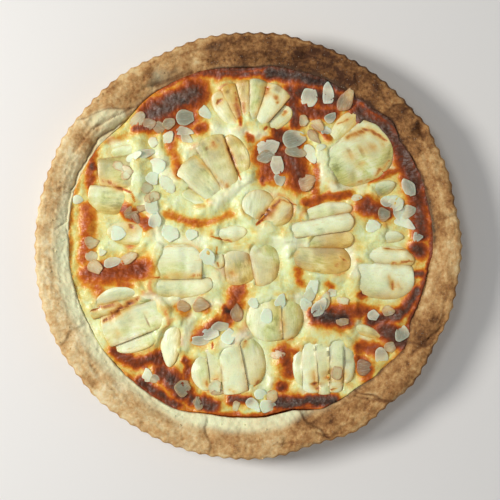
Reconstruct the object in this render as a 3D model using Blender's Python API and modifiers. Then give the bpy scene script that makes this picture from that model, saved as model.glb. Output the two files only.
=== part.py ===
"""A pear and almond tart: a fluted pastry case with its collar folded inwards, baked custard, pear slices and
flaked almonds. Metres, +Z up, origin under the middle of the base."""

import math

import bmesh
import bpy
from mathutils import Vector

MM = 0.001

# The pastry case, in millimetres: a 280 mm tart baked in a fluted tin.
RIM_RADIUS = 140.0
BASE_RADIUS = 131.5
TART_HEIGHT = 30.0
PASTRY = 4.0
FLUTES = 108
FLUTE_DEPTH = 1.3
OPENING_RADIUS = 118.0
LIP_TOP = 24.8
LIP_THICKNESS = 3.2
COLLAR_UNDERSIDE = 21.4
WALL_INSIDE_RADIUS = 130.5
FLOOR_CORNER_RADIUS = 123.0
CRUST_STEPS = 2 * FLUTES

# The collar's inner edge: angle in degrees from +X, and radius.
OPENING = (
    (0, 121.5), (20, 122.0), (34, 121.0), (41, 124.5), (48, 121.5), (62, 120.5), (80, 119.0), (90, 117.0),
    (105, 118.5), (120, 118.0), (135, 114.5), (150, 118.5), (165, 119.5), (180, 118.0), (205, 116.5),
    (225, 116.5), (245, 117.0), (258, 112.5), (270, 112.0), (284, 110.5), (296, 117.0), (306, 117.0),
    (316, 119.0), (327, 122.0), (337, 117.0), (350, 118.0),
)
# Where the rim was pushed in or out: angle, half width in degrees, and the change of radius.
RIM_DENTS = (
    (12, 7, -1.6), (34, 3, 1.6), (81, 4, 0.8), (114, 8, -1.8), (150, 6, 1.0), (202, 16, 1.2), (226, 6, 1.0),
    (288, 8, -2.6), (300, 4, 0.8), (311, 4, -1.2), (321, 4, 0.9), (333, 6, -1.6), (350, 5, -0.8),
)
# Pleats where the folded dough laps over itself: angle at the collar's middle, how far the line slants across
# the collar, the step in height, and how many degrees it takes to die away.
PLEATS = (
    (310, 6, 2.0, 9), (291, 6, -1.4, 7), (330, 6, -1.8, 8), (137, 15, 1.4, 12), (72, -8, -1.4, 7),
    (44, -5, 1.6, 6), (206, 3, -0.9, 5), (163, 2, -0.9, 3), (9, 1, 0.8, 5), (258, 4, -1.0, 6),
)
# Dimples in the collar: angle, radius, depth, and size.
DIMPLES = (
    (34, 135.0, 3.0, 4.0), (73, 131.0, 2.0, 4.5), (281, 131.0, 1.8, 4.0), (257, 125.0, 1.5, 4.0),
    (119, 122.0, 1.5, 5.0), (222, 134.0, 1.2, 3.0), (100, 128.0, 1.0, 7.0), (190, 127.0, 0.8, 8.0),
)

# The custard, and the hills where it puffed up between the pears: x, y, reach along, reach across, turn, height.
CUSTARD_LEVEL = 22.6
CUSTARD_AT_RIM = 23.2
CUSTARD_STEPS = 72
CUSTARD_RINGS = (106.0, 92.0, 76.0, 58.0, 36.0, 14.0)
CLEARANCE = 0.35
CUSTARD_EDGE_GAP = 1.1
POCKET_TOP = 40.0
HILLS = (
    (-50, 92, 24, 10, 35, 2.6), (0, 113, 26, 4, 0, 1.4), (36, 108, 22, 6, -20, 2.2), (28, 56, 14, 13, 0, 2.4),
    (80, 82, 11, 9, -30, 2.4), (106, 62, 24, 7, 110, 2.0), (84, 26, 15, 8, 0, 2.2), (60, 31, 24, 4, 0, 1.6),
    (109, 6, 12, 5, 80, 1.6), (-104, 48, 16, 5, 60, 1.8), (-106, 14, 20, 6, 95, 1.8), (-84, -21, 24, 8, 0, 2.4),
    (-24, 19, 24, 4, -8, 1.6), (-18, -44, 26, 5, 48, 2.0), (24, -74, 12, 7, 40, 2.2), (-66, -73, 18, 5, -15, 1.8),
    (-48, -93, 22, 7, -35, 2.2), (-8, -101, 20, 5, 0, 1.8), (32, -102, 22, 5, 8, 2.0), (62, -42, 18, 7, 0, 2.0),
    (96, -50, 20, 6, 55, 2.2), (82, -78, 14, 6, 40, 1.6),
)

# A pear slice runs from its stalk end to its round end. Each row holds the two ends' x and y, the widths at the
# stalk end, the middle and the round end, the sideways bow, the height of its top, and the roll of its top face.
PEARS = {
    "north": (
        (-5.5, 77, -22.5, 100.5, 4, 9, 9, 1, 24.6, -10), (-3, 78, -13.5, 106, 4, 9, 9, 1, 25.8, 12),
        (-1, 79.5, -4, 109, 4, 9, 9, 0, 25.2, -14), (1.5, 79.5, 6.5, 109.5, 4, 10, 10, 0, 26.2, 10),
        (5, 77.5, 20, 105, 5, 12, 13, -1, 26.0, -8), (10.5, 76, 28, 90, 4, 8, 8, -1, 25.0, -12),
    ),
    "upper_left": (
        (-25.5, 26, -43.5, 35.5, 3, 6, 6, 0, 23.8, 0), (-17.5, 31, -42.5, 55, 8, 15, 14, -1, 24.8, 10),
        (-11.5, 36, -27, 71.5, 10, 18, 14, -1, 26.2, 8), (-3, 43.5, -13, 73, 6, 11, 7, -2, 25.2, -12),
    ),
    "north_east": (
        (50, 48.5, 94, 66, 22, 30, 25, 1, 25.8, 4), (53, 65.5, 71, 88.5, 5, 9, 7, 1, 24.8, -8),
    ),
    "east": ((76, -8, 109, -8.5, 8, 11, 9, 2, 25.0, -8), (67.5, -21, 108.5, -24.5, 20, 23, 20, 0, 26.0, 5)),
    "centre_right": (
        (34, 18.5, 68, 25.5, 6, 9, 7, 1, 24.6, -10), (25, 9, 69, 17, 7, 12, 10, 1, 25.8, -10),
        (36, 2, 69, 5.5, 5, 9, 8, 0, 24.4, 14), (26, -6, 67, -12, 9, 15, 12, 0, 25.4, -12),
    ),
    "centre_top": ((5, 14, 7.5, 37, 6, 16, 14, 1, 25.2, 10), (7.5, 14.5, 27.5, 28.5, 5, 14, 13, -1, 25.4, -8)),
    "centre_upper": ((-24, 5.5, -1, 9.8, 5, 9, 7, 0, 24.6, -6),),
    "centre": (
        (-22.5, -0.5, -19, -15, 8, 9, 5, 0, 24.4, -10), (-10, 2, -5, -25.5, 12, 17, 14, 0, 24.8, 6),
        (5.5, 3.5, 13, -26, 11, 17, 14, 3, 25.2, -8),
    ),
    "west_block": (
        (-62, -11, -30.5, -9.5, 18, 20, 18, 0, 25.6, 4), (-65, -27, -23.5, -26.5, 9, 11, 8, -1, 24.6, -8),
    ),
    "north_west": (
        (-71, 64, -90, 61, 6, 8, 6, 1, 24.4, -8), (-72.5, 51.5, -99, 50, 18, 22, 16, 0, 25.6, 5),
        (-76, 30.5, -105.5, 32, 10, 16, 13, 1, 25.0, -6),
    ),
    "west": ((-65, 7, -93, 9.5, 10, 13, 10, 0, 23.8, 0),),
    "south_west": (
        (-69, -31, -101.5, -38.5, 3, 8, 6, -3, 24.6, -14), (-64, -35, -103.5, -45, 3, 7, 6, -2, 25.4, -10),
        (-54.5, -42.5, -95, -57.5, 17, 21, 14, 0, 25.8, 6), (-58, -57, -86.5, -68.5, 8, 9, 6, 1, 24.6, 10),
    ),
    "south_west_upright": ((-48, -47.5, -52, -79.5, 5, 11, 7, -1, 24.8, 12),),
    "south": (
        (-31.5, -70, -28.5, -95, 7, 10, 7, -2, 24.4, 10), (-23.5, -66.5, -20.5, -90, 7, 9, 7, -1, 25.0, 12),
        (-13.5, -62.5, -8, -97, 9, 15, 13, 0, 26.4, 6), (-2.5, -57.5, 5, -91, 8, 13, 10, 2, 25.2, -12),
    ),
    "south_pair": ((11.5, -31, 13, -62.5, 12, 21, 16, -1, 25.6, 5), (25.5, -32, 27, -61, 8, 13, 10, 2, 25.0, -10)),
    "south_east": (
        (35.5, -65, 31.5, -94, 5, 8, 7, -2, 24.2, 12), (40, -58.5, 42.5, -96.5, 10, 13, 10, -2, 25.2, 12),
        (48, -57.5, 50.5, -97.5, 9, 11, 8, -1, 26.0, 8), (57, -57, 57, -96, 9, 13, 10, 1, 26.4, -4),
        (66, -62, 63.5, -90, 8, 11, 9, 2, 25.2, -12),
    ),
    "south_east_sliver": ((67, -53.5, 86.5, -59.5, 4, 6, 4, 1, 24.4, -10),),
    "east_sliver": ((79.5, 36.5, 96.5, 41, 4, 8, 6, -1, 23.8, 0),),
    "east_chip": ((85, 4.4, 102, 6, 5, 7, 5, 1, 23.8, 0),),
}
PEAR_BOTTOM = 9.0
STATIONS = (0.012, 0.15, 0.5, 0.85, 0.988)
END_ROUNDNESS = 2.6
FULLNESS = 1.18
END_DROP = 1.6
CROWN = 0.10
SHOULDER_DROP = 3.2
TOP_SHARES = (0.88, 0.35, -0.35, -0.88)
BASE_SHARE = 0.82
KNIFE_GAP = 0.35
KNIFE_STATIONS = (0.2, 0.8)
# How much wider a slice would be on a side that was cut from its neighbour, so that the cut runs to its ends.
CUT_SIDE_FULLNESS = {
    "north": 1.5, "upper_left": 1.4, "north_east": 1.3, "east": 1.7, "centre_right": 1.2, "centre": 1.3,
    "west_block": 1.8, "north_west": 1.4, "south_west": 1.6, "south": 1.6, "south_pair": 1.9, "south_east": 2.0,
}

# Almond flakes by drift: x, y, length, width and turn in degrees.
FLAKES = {
    "north_west": (
        (-72.5, 82.5, 12, 7, 45), (-65, 80, 8, 6, 0), (-57.5, 77, 9, 6, -30), (-52, 80.5, 8, 5.5, 20),
        (-40, 84.5, 13, 8, 10), (-42, 75.5, 12, 5, -5), (-40.5, 70.5, 8, 5, -20), (-52.5, 71.5, 8, 6, 60),
        (-62, 68.5, 7, 5.5, 30), (-29, 88, 10.5, 5.5, -40), (-59.5, 52.5, 10.5, 8, 20), (-79.5, 49, 13, 8, 10),
        (-62.5, 44, 9, 7.5, 0), (-66, 38.5, 8, 6, 20), (-62.5, 26.5, 9, 8, 50), (-53, 40.5, 12, 7, -55),
    ),
    "west": (
        (-61, 17.5, 10, 7, 80), (-51, 8.5, 12, 8, -60), (-36.5, 7.5, 8, 5, 0), (-112, 30.5, 6, 5, 0),
        (-102.5, 2.5, 8, 6.5, 0), (-102.5, -6, 8, 7, 70), (-85.5, 8.5, 9, 8.5, 0), (-96, -4, 5, 4, 0),
        (-100, -14.5, 9.5, 8, -30), (-78.5, -8, 11, 6, 30), (-89, -10.5, 11, 5, 10), (-76.5, 21, 8, 4, 20),
    ),
    "south_west": (
        (-31, -38.5, 9.5, 8.5, 0), (-42.5, -40, 8, 7, 0), (-7.5, -43.5, 10.5, 7, 90), (3, -37, 7, 6, 80),
        (-31.5, -62, 12, 6, 12), (-42.5, -92.5, 10, 9, 30), (-66.5, -84.5, 8, 6, 100), (-61.5, -87, 6, 5, 0),
        (-33, -103, 8, 4, 100), (-8, -104.5, 7, 5, 60), (3.5, -104.5, 10, 5, -50), (13, -105, 9, 8, 0),
    ),
    "south_east": (
        (12, -45, 11, 6.5, 90), (42.5, -26.5, 11, 7, 75), (37.5, -38, 8, 6.5, 60), (46.5, -40.5, 13, 6.5, 60),
        (55, -31, 7, 5, 0), (63, -36, 9, 4.5, -10), (62, -49.5, 8, 5, 0), (100.5, -57.5, 9.5, 8, 90),
        (87, -72, 9, 8, -40), (93.5, -66, 8, 6, 20), (76.5, -79.5, 9.5, 8.5, 0), (83, -46, 8, 6, -30),
        (91.5, -42.5, 8, 6, 0), (57, -82, 10, 6, 80), (16, -98, 8, 6.5, 40), (19, -71, 9, 5, 0),
    ),
    "north_east": (
        (40, 98.3, 12.5, 9, 80), (51.8, 100, 13.5, 7, 85), (13.5, 64.5, 14, 10, 25), (31, 70.5, 15, 10, 20),
        (40.5, 60.5, 12, 6.5, -60), (18.5, 53.5, 14, 7, 90),
        (36.5, 81.5, 8, 6, -40), (45.5, 79.5, 9, 5.5, -45), (43.5, 71.5, 10, 5, -50), (64, 96, 15, 7, 70),
        (105.5, 37, 14, 6.5, -75), (97, 28.5, 10, 8, 60), (105, 23, 9.5, 7.5, 20), (102.5, 15, 13, 6, -25),
        (89.5, 21, 8, 7.5, 0), (82.5, 13, 10, 6, -5), (20.5, 43, 8, 6, -90), (36, 41, 12, 9, 20),
    ),
}
FLAKE_THICKNESS = 1.3
FLAKE_SIDES = 6
SMALLEST_FLAKE = 8.5
FLAKE_SHRINKS = (1.0, 0.85, 0.7)
FLAKE_LIFT_ON_CUSTARD = 0.35
FLAKE_LIFT_ON_PEAR = 0.2
FLAKE_TILT = 9.0
FLAKE_EDGE_CLEARANCE = 0.6
FLAKE_RIM_CLEARANCE = 2.0


def clear_scene():
    for obj in list(bpy.data.objects):
        bpy.data.objects.remove(obj, do_unlink=True)


def new_collection(name):
    collection = bpy.data.collections.new(name)
    bpy.context.scene.collection.children.link(collection)
    return collection


def material(name, colour, roughness):
    made = bpy.data.materials.new(name)
    made.use_nodes = True
    shader = made.node_tree.nodes["Principled BSDF"]
    shader.inputs["Base Color"].default_value = (*colour, 1.0)
    shader.inputs["Roughness"].default_value = roughness
    shader.inputs["Metallic"].default_value = 0.0
    return made


def smoothstep(value, low, high):
    share = min(1.0, max(0.0, (value - low) / (high - low)))
    return share * share * (3.0 - 2.0 * share)


def turn_between(angle, centre):
    """Signed difference of two angles, in degrees, from -180 to 180."""
    return (angle - centre + 180.0) % 360.0 - 180.0


def opening_radius(angle):
    """The collar's inner edge, eased from one reading to the next."""
    angle %= 360.0
    for (low, start), (high, end) in zip(OPENING, OPENING[1:] + ((360.0, OPENING[0][1]),)):
        if low <= angle <= high:
            return start + (end - start) * smoothstep(angle, low, high)
    return OPENING_RADIUS


def rim_change(angle):
    return sum(
        change * math.exp(-((turn_between(angle, centre) / width) ** 2)) for centre, width, change in RIM_DENTS
    )


def collar_relief(radius, angle):
    """How far the folded collar lies above or below its plain slope."""
    across = (radius - OPENING_RADIUS) / (RIM_RADIUS - OPENING_RADIUS) - 0.5
    height = 0.0
    for centre, slant, step, reach in PLEATS:
        past = turn_between(angle, centre + slant * across)
        if past >= 0.0:
            height += step * math.exp(-past / reach)
    for centre, at_radius, depth, size in DIMPLES:
        along = math.radians(turn_between(angle, centre)) * radius
        height -= depth * math.exp(-(along**2 + (radius - at_radius) ** 2) / size**2)
    return height


def crust_point(radius, angle, height):
    """Moves a point of the plain turned case to where the baked one has it."""
    inner = opening_radius(angle)
    if height > COLLAR_UNDERSIDE - 1.0 and radius < RIM_RADIUS + 1.0:
        share = smoothstep(radius, OPENING_RADIUS - 6.0, WALL_INSIDE_RADIUS + 5.0)
        moved = radius + (inner - OPENING_RADIUS) * (1.0 - share)
        if height > LIP_TOP - 1.0:
            weight = smoothstep(radius, OPENING_RADIUS - 2.0, OPENING_RADIUS + 6.0)
            weight *= 1.0 - smoothstep(radius, RIM_RADIUS - 2.5, RIM_RADIUS + 0.5)
            height += weight * collar_relief(moved, angle)
        radius = moved
    if radius > WALL_INSIDE_RADIUS + 0.5:
        share = smoothstep(radius, WALL_INSIDE_RADIUS, RIM_RADIUS)
        flute = 0.5 - 0.5 * math.cos(math.radians(angle) * FLUTES)
        on_wall = 1.0 if height < TART_HEIGHT - 1.0 else 0.35
        radius += rim_change(angle) * share - FLUTE_DEPTH * flute * on_wall
    return radius, height


def turned(name, profile, steps, warp, collection, finish):
    """A profile of radius and height turned about +Z, then warped, as one closed mesh."""
    mesh = bpy.data.meshes.new(name)
    points = [(radius * MM, 0.0, height * MM) for radius, height in profile]
    mesh.from_pydata(points, [(i, i + 1) for i in range(len(points) - 1)], [])
    obj = bpy.data.objects.new(name, mesh)
    collection.objects.link(obj)
    screw = obj.modifiers.new("Turn", "SCREW")
    screw.axis = "Z"
    screw.steps = steps
    screw.render_steps = steps
    screw.use_merge_vertices = True
    screw.merge_threshold = 0.00005
    bpy.context.view_layer.update()
    graph = bpy.context.evaluated_depsgraph_get()
    obj.data = bpy.data.meshes.new_from_object(obj.evaluated_get(graph))
    obj.modifiers.clear()
    for vertex in obj.data.vertices:
        x, y, z = (value / MM for value in vertex.co)
        radius, angle = math.hypot(x, y), math.degrees(math.atan2(y, x))
        if radius > 1.0:
            radius, z = warp(radius, angle, z)
            x, y = radius * math.cos(math.radians(angle)), radius * math.sin(math.radians(angle))
        vertex.co = (x * MM, y * MM, z * MM)
    obj.data.materials.append(finish)
    return obj


def make_crust(collection, finish):
    profile = (
        (0.0, PASTRY),
        (FLOOR_CORNER_RADIUS, PASTRY),
        (WALL_INSIDE_RADIUS, COLLAR_UNDERSIDE - 1.2),
        (OPENING_RADIUS + 1.2, LIP_TOP - LIP_THICKNESS),
        (OPENING_RADIUS, LIP_TOP - 0.4),
        (OPENING_RADIUS + 6.5, LIP_TOP + 2.0),
        (RIM_RADIUS - 5.0, TART_HEIGHT),
        (RIM_RADIUS, TART_HEIGHT - 1.8),
        (BASE_RADIUS, 0.0),
        (0.0, 0.0),
    )
    return turned("crust", profile, CRUST_STEPS, crust_point, collection, finish)


def custard_height(x, y):
    radius = math.hypot(x, y)
    height = CUSTARD_LEVEL + (CUSTARD_AT_RIM - CUSTARD_LEVEL) * smoothstep(radius, 60.0, 115.0)
    for cx, cy, along, across, turn, rise in HILLS:
        cosine, sine = math.cos(math.radians(turn)), math.sin(math.radians(turn))
        u = ((x - cx) * cosine + (y - cy) * sine) / along
        v = (-(x - cx) * sine + (y - cy) * cosine) / across
        height += rise * math.exp(-(u * u + v * v))
    return height


def custard_point(radius, angle, height):
    """Fits the plain custard to the case, and lifts its top."""
    if height < PASTRY + 5.0 or radius > WALL_INSIDE_RADIUS - 3.0:
        return radius, height
    inner = opening_radius(angle)
    share = smoothstep(radius, OPENING_RADIUS - 6.0, WALL_INSIDE_RADIUS + 5.0)
    edge = OPENING_RADIUS - CUSTARD_EDGE_GAP
    if radius > edge - 0.01:
        radius += (inner - OPENING_RADIUS) * (1.0 - share)
    else:
        radius *= 1.0 + (inner / OPENING_RADIUS - 1.0) * smoothstep(radius, 60.0, edge)
    if height > COLLAR_UNDERSIDE + 0.5:
        x, y = radius * math.cos(math.radians(angle)), radius * math.sin(math.radians(angle))
        height = custard_height(x, y)
    return radius, height


def make_custard(collection, finish):
    edge = OPENING_RADIUS - CUSTARD_EDGE_GAP
    below = COLLAR_UNDERSIDE - 1.0
    profile = ((0.0, CUSTARD_LEVEL),)
    profile += tuple((radius, CUSTARD_LEVEL) for radius in reversed(CUSTARD_RINGS))
    profile += (
        (edge, CUSTARD_AT_RIM),
        (edge, below),
        (WALL_INSIDE_RADIUS - 0.9, below - 1.0),
        (FLOOR_CORNER_RADIUS - 0.4, PASTRY + 0.3),
        (0.0, PASTRY + 0.3),
    )
    return turned("custard", profile, CUSTARD_STEPS, custard_point, collection, finish)


class PearSlice:
    """One slice: its centreline, its half width along it, and the planes that trim it against its neighbours."""

    def __init__(self, name, row):
        x0, y0, x1, y1, *sizes = row
        self.name = name
        self.start, self.end = Vector((x0, y0)), Vector((x1, y1))
        self.stalk, self.middle, self.round_end, self.bow, self.top, self.roll = sizes
        self.along = (self.end - self.start).normalized()
        self.left = Vector((-self.along.y, self.along.x))
        self.planes = []
        self.cut_sides = []
        self.fullness = {1: 1.0, -1: 1.0}

    def centre(self, share):
        ease = 4.0 * share * (1.0 - share)
        return self.start.lerp(self.end, share) + self.left * self.bow * ease

    def half(self, share):
        ends = (1.0 - abs(2.0 * share - 1.0) ** END_ROUNDNESS) ** (1.0 / END_ROUNDNESS)
        low = (1.0 - share) * (1.0 - 2.0 * share) * self.stalk
        high = share * (2.0 * share - 1.0) * self.round_end
        return 0.5 * FULLNESS * ends * (low + high + 4.0 * share * (1.0 - share) * self.middle)

    def side(self, share, across):
        """A point of the plan: 0 is the centreline, 1 the left edge and -1 the right edge."""
        return self.centre(share) + self.left * self.half(share) * across * self.fullness[1 if across > 0 else -1]

    def section(self, share):
        """The ring of points across the slice: two on its base, then over its top."""
        half = self.half(share)
        crest = self.top - END_DROP * abs(2.0 * share - 1.0) ** 3
        slope = math.tan(math.radians(self.roll))
        ring = [(-BASE_SHARE, PEAR_BOTTOM), (BASE_SHARE, PEAR_BOTTOM)]
        ring += [(1.0, crest - SHOULDER_DROP + half * slope)]
        ring += [(s, crest + s * half * slope - CROWN * half * s * s) for s in TOP_SHARES]
        ring += [(-1.0, crest - SHOULDER_DROP - half * slope)]
        return [(*self.side(share, s), z) for s, z in ring]

    def outline(self, grow=0.0):
        left = [self.side(t, 1.0) + self.left * grow for t in STATIONS]
        right = [self.side(t, -1.0) - self.left * grow for t in STATIONS]
        for side in (left, right):
            side[0] -= self.along * grow
            side[-1] += self.along * grow
        return left + right[::-1]

    def holds(self, point, margin):
        """Whether a point lies inside the slice, at least margin from its edge and from its cut faces."""
        corners = self.outline(-margin)
        if not inside(point, corners):
            return False
        return all((point - origin).dot(normal) < -margin for origin, normal in self.planes)


def inside(point, corners):
    """Whether a point lies in a polygon, by the crossing rule."""
    found = False
    for a, b in zip(corners, corners[1:] + corners[:1]):
        if (a.y > point.y) != (b.y > point.y):
            cross = a.x + (point.y - a.y) / (b.y - a.y) * (b.x - a.x)
            found ^= point.x < cross
    return found


def loft(name, rings, collection, finish=None):
    """A closed skin over rings of equal length, with a face on each end."""
    bm = bmesh.new()
    rows = [[bm.verts.new([value * MM for value in point]) for point in ring] for ring in rings]
    count = len(rows[0])
    for low, high in zip(rows, rows[1:]):
        for i in range(count):
            j = (i + 1) % count
            bm.faces.new((low[i], low[j], high[j], high[i]))
    bm.faces.new(rows[0][::-1])
    bm.faces.new(rows[-1])
    bmesh.ops.recalc_face_normals(bm, faces=bm.faces)
    mesh = bpy.data.meshes.new(name)
    bm.to_mesh(mesh)
    bm.free()
    obj = bpy.data.objects.new(name, mesh)
    collection.objects.link(obj)
    if finish:
        mesh.materials.append(finish)
    return obj


def trim(obj, origin, normal):
    """Cuts away what lies past a vertical plane, and closes the cut."""
    bm = bmesh.new()
    bm.from_mesh(obj.data)
    geometry = bm.verts[:] + bm.edges[:] + bm.faces[:]
    cut = bmesh.ops.bisect_plane(
        bm, geom=geometry, dist=1e-6, plane_co=(origin.x * MM, origin.y * MM, 0.0),
        plane_no=(normal.x, normal.y, 0.0), clear_outer=True,
    )
    edges = [item for item in cut["geom_cut"] if isinstance(item, bmesh.types.BMEdge)]
    if edges:
        bmesh.ops.contextual_create(bm, geom=edges)
    bmesh.ops.recalc_face_normals(bm, faces=bm.faces)
    bm.to_mesh(obj.data)
    bm.free()


def part_neighbours(slices, fullness):
    """Gives each two slices of one pear the knife cut between them."""
    for first, second in zip(slices, slices[1:]):
        weights = [(first.half(t), second.half(t)) for t in KNIFE_STATIONS]
        low, high = (
            (first.centre(t) * b + second.centre(t) * a) / (a + b) for t, (a, b) in zip(KNIFE_STATIONS, weights)
        )
        along = (high - low).normalized()
        normal = Vector((-along.y, along.x))
        if normal.dot(second.centre(0.5) - first.centre(0.5)) < 0.0:
            normal = -normal
        first.planes.append((low - normal * KNIFE_GAP / 2, normal))
        second.planes.append((low + normal * KNIFE_GAP / 2, -normal))
        first.cut_sides.append(1 if normal.dot(first.left) > 0.0 else -1)
        second.cut_sides.append(1 if normal.dot(second.left) < 0.0 else -1)
    for piece in slices:
        for side in piece.cut_sides:
            piece.fullness[side] = fullness


def make_pears(collection, finish):
    made = []
    for pear, rows in PEARS.items():
        slices = [PearSlice(f"pear_{pear}_{i}", row) for i, row in enumerate(rows, 1)]
        part_neighbours(slices, CUT_SIDE_FULLNESS.get(pear, 1.0))
        for piece in slices:
            piece.obj = loft(piece.name, [piece.section(t) for t in STATIONS], collection, finish)
            for origin, normal in piece.planes:
                trim(piece.obj, origin, normal)
        made += slices
    return made


def make_pockets(slices, collection):
    """What the custard leaves free round each slice."""
    for piece in slices:
        outline = piece.outline(CLEARANCE)
        rings = [[(*corner, z) for corner in outline] for z in (PEAR_BOTTOM - CLEARANCE, POCKET_TOP)]
        pocket = loft(f"pocket_{piece.name}", rings, collection)
        for origin, normal in piece.planes:
            trim(pocket, origin + normal * CLEARANCE, normal)


def boolean(obj, collection, operation, solver="EXACT"):
    """Joins or cuts an object with all of a collection, and removes the collection's objects."""
    modifier = obj.modifiers.new("Join", "BOOLEAN")
    modifier.operand_type = "COLLECTION"
    modifier.collection = collection
    modifier.operation = operation
    modifier.solver = solver
    bpy.context.view_layer.update()
    graph = bpy.context.evaluated_depsgraph_get()
    mesh = bpy.data.meshes.new_from_object(obj.evaluated_get(graph))
    obj.modifiers.clear()
    obj.data = mesh
    for tool in list(collection.objects):
        bpy.data.objects.remove(tool, do_unlink=True)


def keep_largest(obj):
    """Drops the loose scraps that the pockets leave, and keeps the one body."""
    bm = bmesh.new()
    bm.from_mesh(obj.data)
    left, bodies = set(bm.verts), []
    while left:
        body, edge = set(), [left.pop()]
        while edge:
            vertex = edge.pop()
            body.add(vertex)
            near = {link.other_vert(vertex) for link in vertex.link_edges} & left
            left -= near
            edge += near
        bodies.append(body)
    bodies.sort(key=len)
    bmesh.ops.delete(bm, geom=[vertex for body in bodies[:-1] for vertex in body], context="VERTS")
    bm.to_mesh(obj.data)
    bm.free()


def flake_outline(row, shrink=1.0):
    x, y, length, width, turn = row
    cosine, sine = math.cos(math.radians(turn)), math.sin(math.radians(turn))
    points = []
    for i in range(FLAKE_SIDES):
        angle = 2.0 * math.pi * i / FLAKE_SIDES
        u = 0.5 * shrink * length * math.cos(angle)
        v = 0.5 * shrink * width * math.sin(angle) * (1.0 - 0.25 * math.cos(angle))
        points.append(Vector((x + u * cosine - v * sine, y + u * sine + v * cosine)))
    return points


def host_of(points, slices):
    """The slice that all of a flake lies on, None where it lies on custard alone, or False where it crosses."""
    for point in points:
        edge = opening_radius(math.degrees(math.atan2(point.y, point.x))) - FLAKE_RIM_CLEARANCE
        if point.length > edge:
            return False
    for piece in slices:
        if all(piece.holds(point, FLAKE_EDGE_CLEARANCE) for point in points):
            return piece
    if any(piece.holds(point, -FLAKE_EDGE_CLEARANCE) for piece in slices for point in points):
        return False
    reach = [piece.outline(FLAKE_EDGE_CLEARANCE) for piece in slices]
    if any(inside(corner, points) for corners in reach for corner in corners):
        return False
    return None


def flake_rings(points, base, turn):
    """A thin tilted plate, sunk a little into what it lies on."""
    lean = math.tan(math.radians(FLAKE_TILT)) * (1.0 if int(turn) % 2 else -1.0)
    middle = sum(points, Vector((0.0, 0.0))) / len(points)
    rings = []
    for lift in (-0.5 * FLAKE_THICKNESS, 0.5 * FLAKE_THICKNESS):
        rings.append([(*p, base + lift + lean * (p.x - middle.x)) for p in points])
    return rings


def make_flakes(slices, custard, collection):
    """Fuses each flake that lies wholly on one piece to that piece."""
    on_slices = {}
    for rows in FLAKES.values():
        for row in rows:
            if row[2] < SMALLEST_FLAKE:
                continue
            for shrink in FLAKE_SHRINKS:
                points = flake_outline(row, shrink)
                host = host_of(points, slices)
                if host is not False:
                    break
            if host is False:
                continue
            if host is None:
                base = custard_height(row[0], row[1]) + FLAKE_LIFT_ON_CUSTARD
                loft("flake", flake_rings(points, base, row[4]), collection)
            else:
                on_slices.setdefault(host.name, (host, []))[1].append((points, row[4]))
    boolean(custard, collection, "UNION")
    for host, plates in on_slices.values():
        for points, turn in plates:
            middle = sum(points, Vector((0.0, 0.0))) / len(points)
            offset = (middle - host.centre(0.5)).dot(host.left)
            base = host.top + offset * math.tan(math.radians(host.roll)) + FLAKE_LIFT_ON_PEAR
            loft("flake", flake_rings(points, base, turn), collection)
        boolean(host.obj, collection, "UNION")


def shade(obj):
    obj.data.shade_smooth()
    obj.data.set_sharp_from_angle(angle=math.radians(40.0))


def main():
    clear_scene()
    tart = new_collection("pear_almond_tart")
    tools = new_collection("cutters")
    pastry = material("pastry", (0.56, 0.36, 0.17), 0.8)
    baked_custard = material("custard", (0.72, 0.50, 0.18), 0.45)
    pear_flesh = material("pear_flesh", (0.70, 0.68, 0.36), 0.4)
    make_crust(tart, pastry)
    custard = make_custard(tart, baked_custard)
    slices = make_pears(tart, pear_flesh)
    make_pockets(slices, tools)
    boolean(custard, tools, "DIFFERENCE")
    keep_largest(custard)
    make_flakes(slices, custard, tools)
    for obj in tart.objects:
        shade(obj)


main()
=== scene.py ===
# Pear and almond tart on a pale floor, seen from straight above. Millimetres until a mesh is made.
import math

import bpy
import numpy as np
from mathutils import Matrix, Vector
from mathutils.bvhtree import BVHTree


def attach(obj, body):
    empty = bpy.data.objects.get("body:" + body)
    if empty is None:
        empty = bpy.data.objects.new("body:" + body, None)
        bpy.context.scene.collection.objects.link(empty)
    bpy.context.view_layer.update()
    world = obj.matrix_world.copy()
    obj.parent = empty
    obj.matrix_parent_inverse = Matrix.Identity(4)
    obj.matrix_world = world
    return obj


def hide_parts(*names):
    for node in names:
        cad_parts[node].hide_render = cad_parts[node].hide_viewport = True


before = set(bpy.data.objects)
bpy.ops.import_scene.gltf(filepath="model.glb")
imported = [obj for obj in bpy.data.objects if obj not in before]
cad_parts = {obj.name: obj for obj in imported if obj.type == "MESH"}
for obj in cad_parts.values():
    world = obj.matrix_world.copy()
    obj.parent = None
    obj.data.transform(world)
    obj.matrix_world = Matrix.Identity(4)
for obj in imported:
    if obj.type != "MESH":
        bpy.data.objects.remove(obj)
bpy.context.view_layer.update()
toMetres = 0.001


# Noise and easing

def smooth(value, low, high):
    share = np.clip((value - low) / (high - low), 0.0, 1.0)
    return share * share * (3.0 - 2.0 * share)


def latticeValues(ix, iy, iz, seed):
    mixed = (ix * 374761393 + iy * 668265263 + iz * 1440662683 + seed * 1274126177) & 0xFFFFFFFF
    mixed = ((mixed ^ (mixed >> 13)) * 1274126177) & 0xFFFFFFFF
    return ((mixed ^ (mixed >> 16)) & 0xFFFF) / 32767.5 - 1.0


def noise(points, size, seed=0):
    scaled = points / size + 97.3
    cell = np.floor(scaled).astype(np.int64)
    part = scaled - cell
    part = part * part * part * (part * (part * 6.0 - 15.0) + 10.0)
    total = np.zeros(len(points))
    for corner in range(8):
        step = np.array([corner & 1, corner >> 1 & 1, corner >> 2 & 1])
        weight = np.prod(np.where(step, part, 1.0 - part), axis=1)
        total += weight * latticeValues(*(cell + step).T, seed)
    return total


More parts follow.
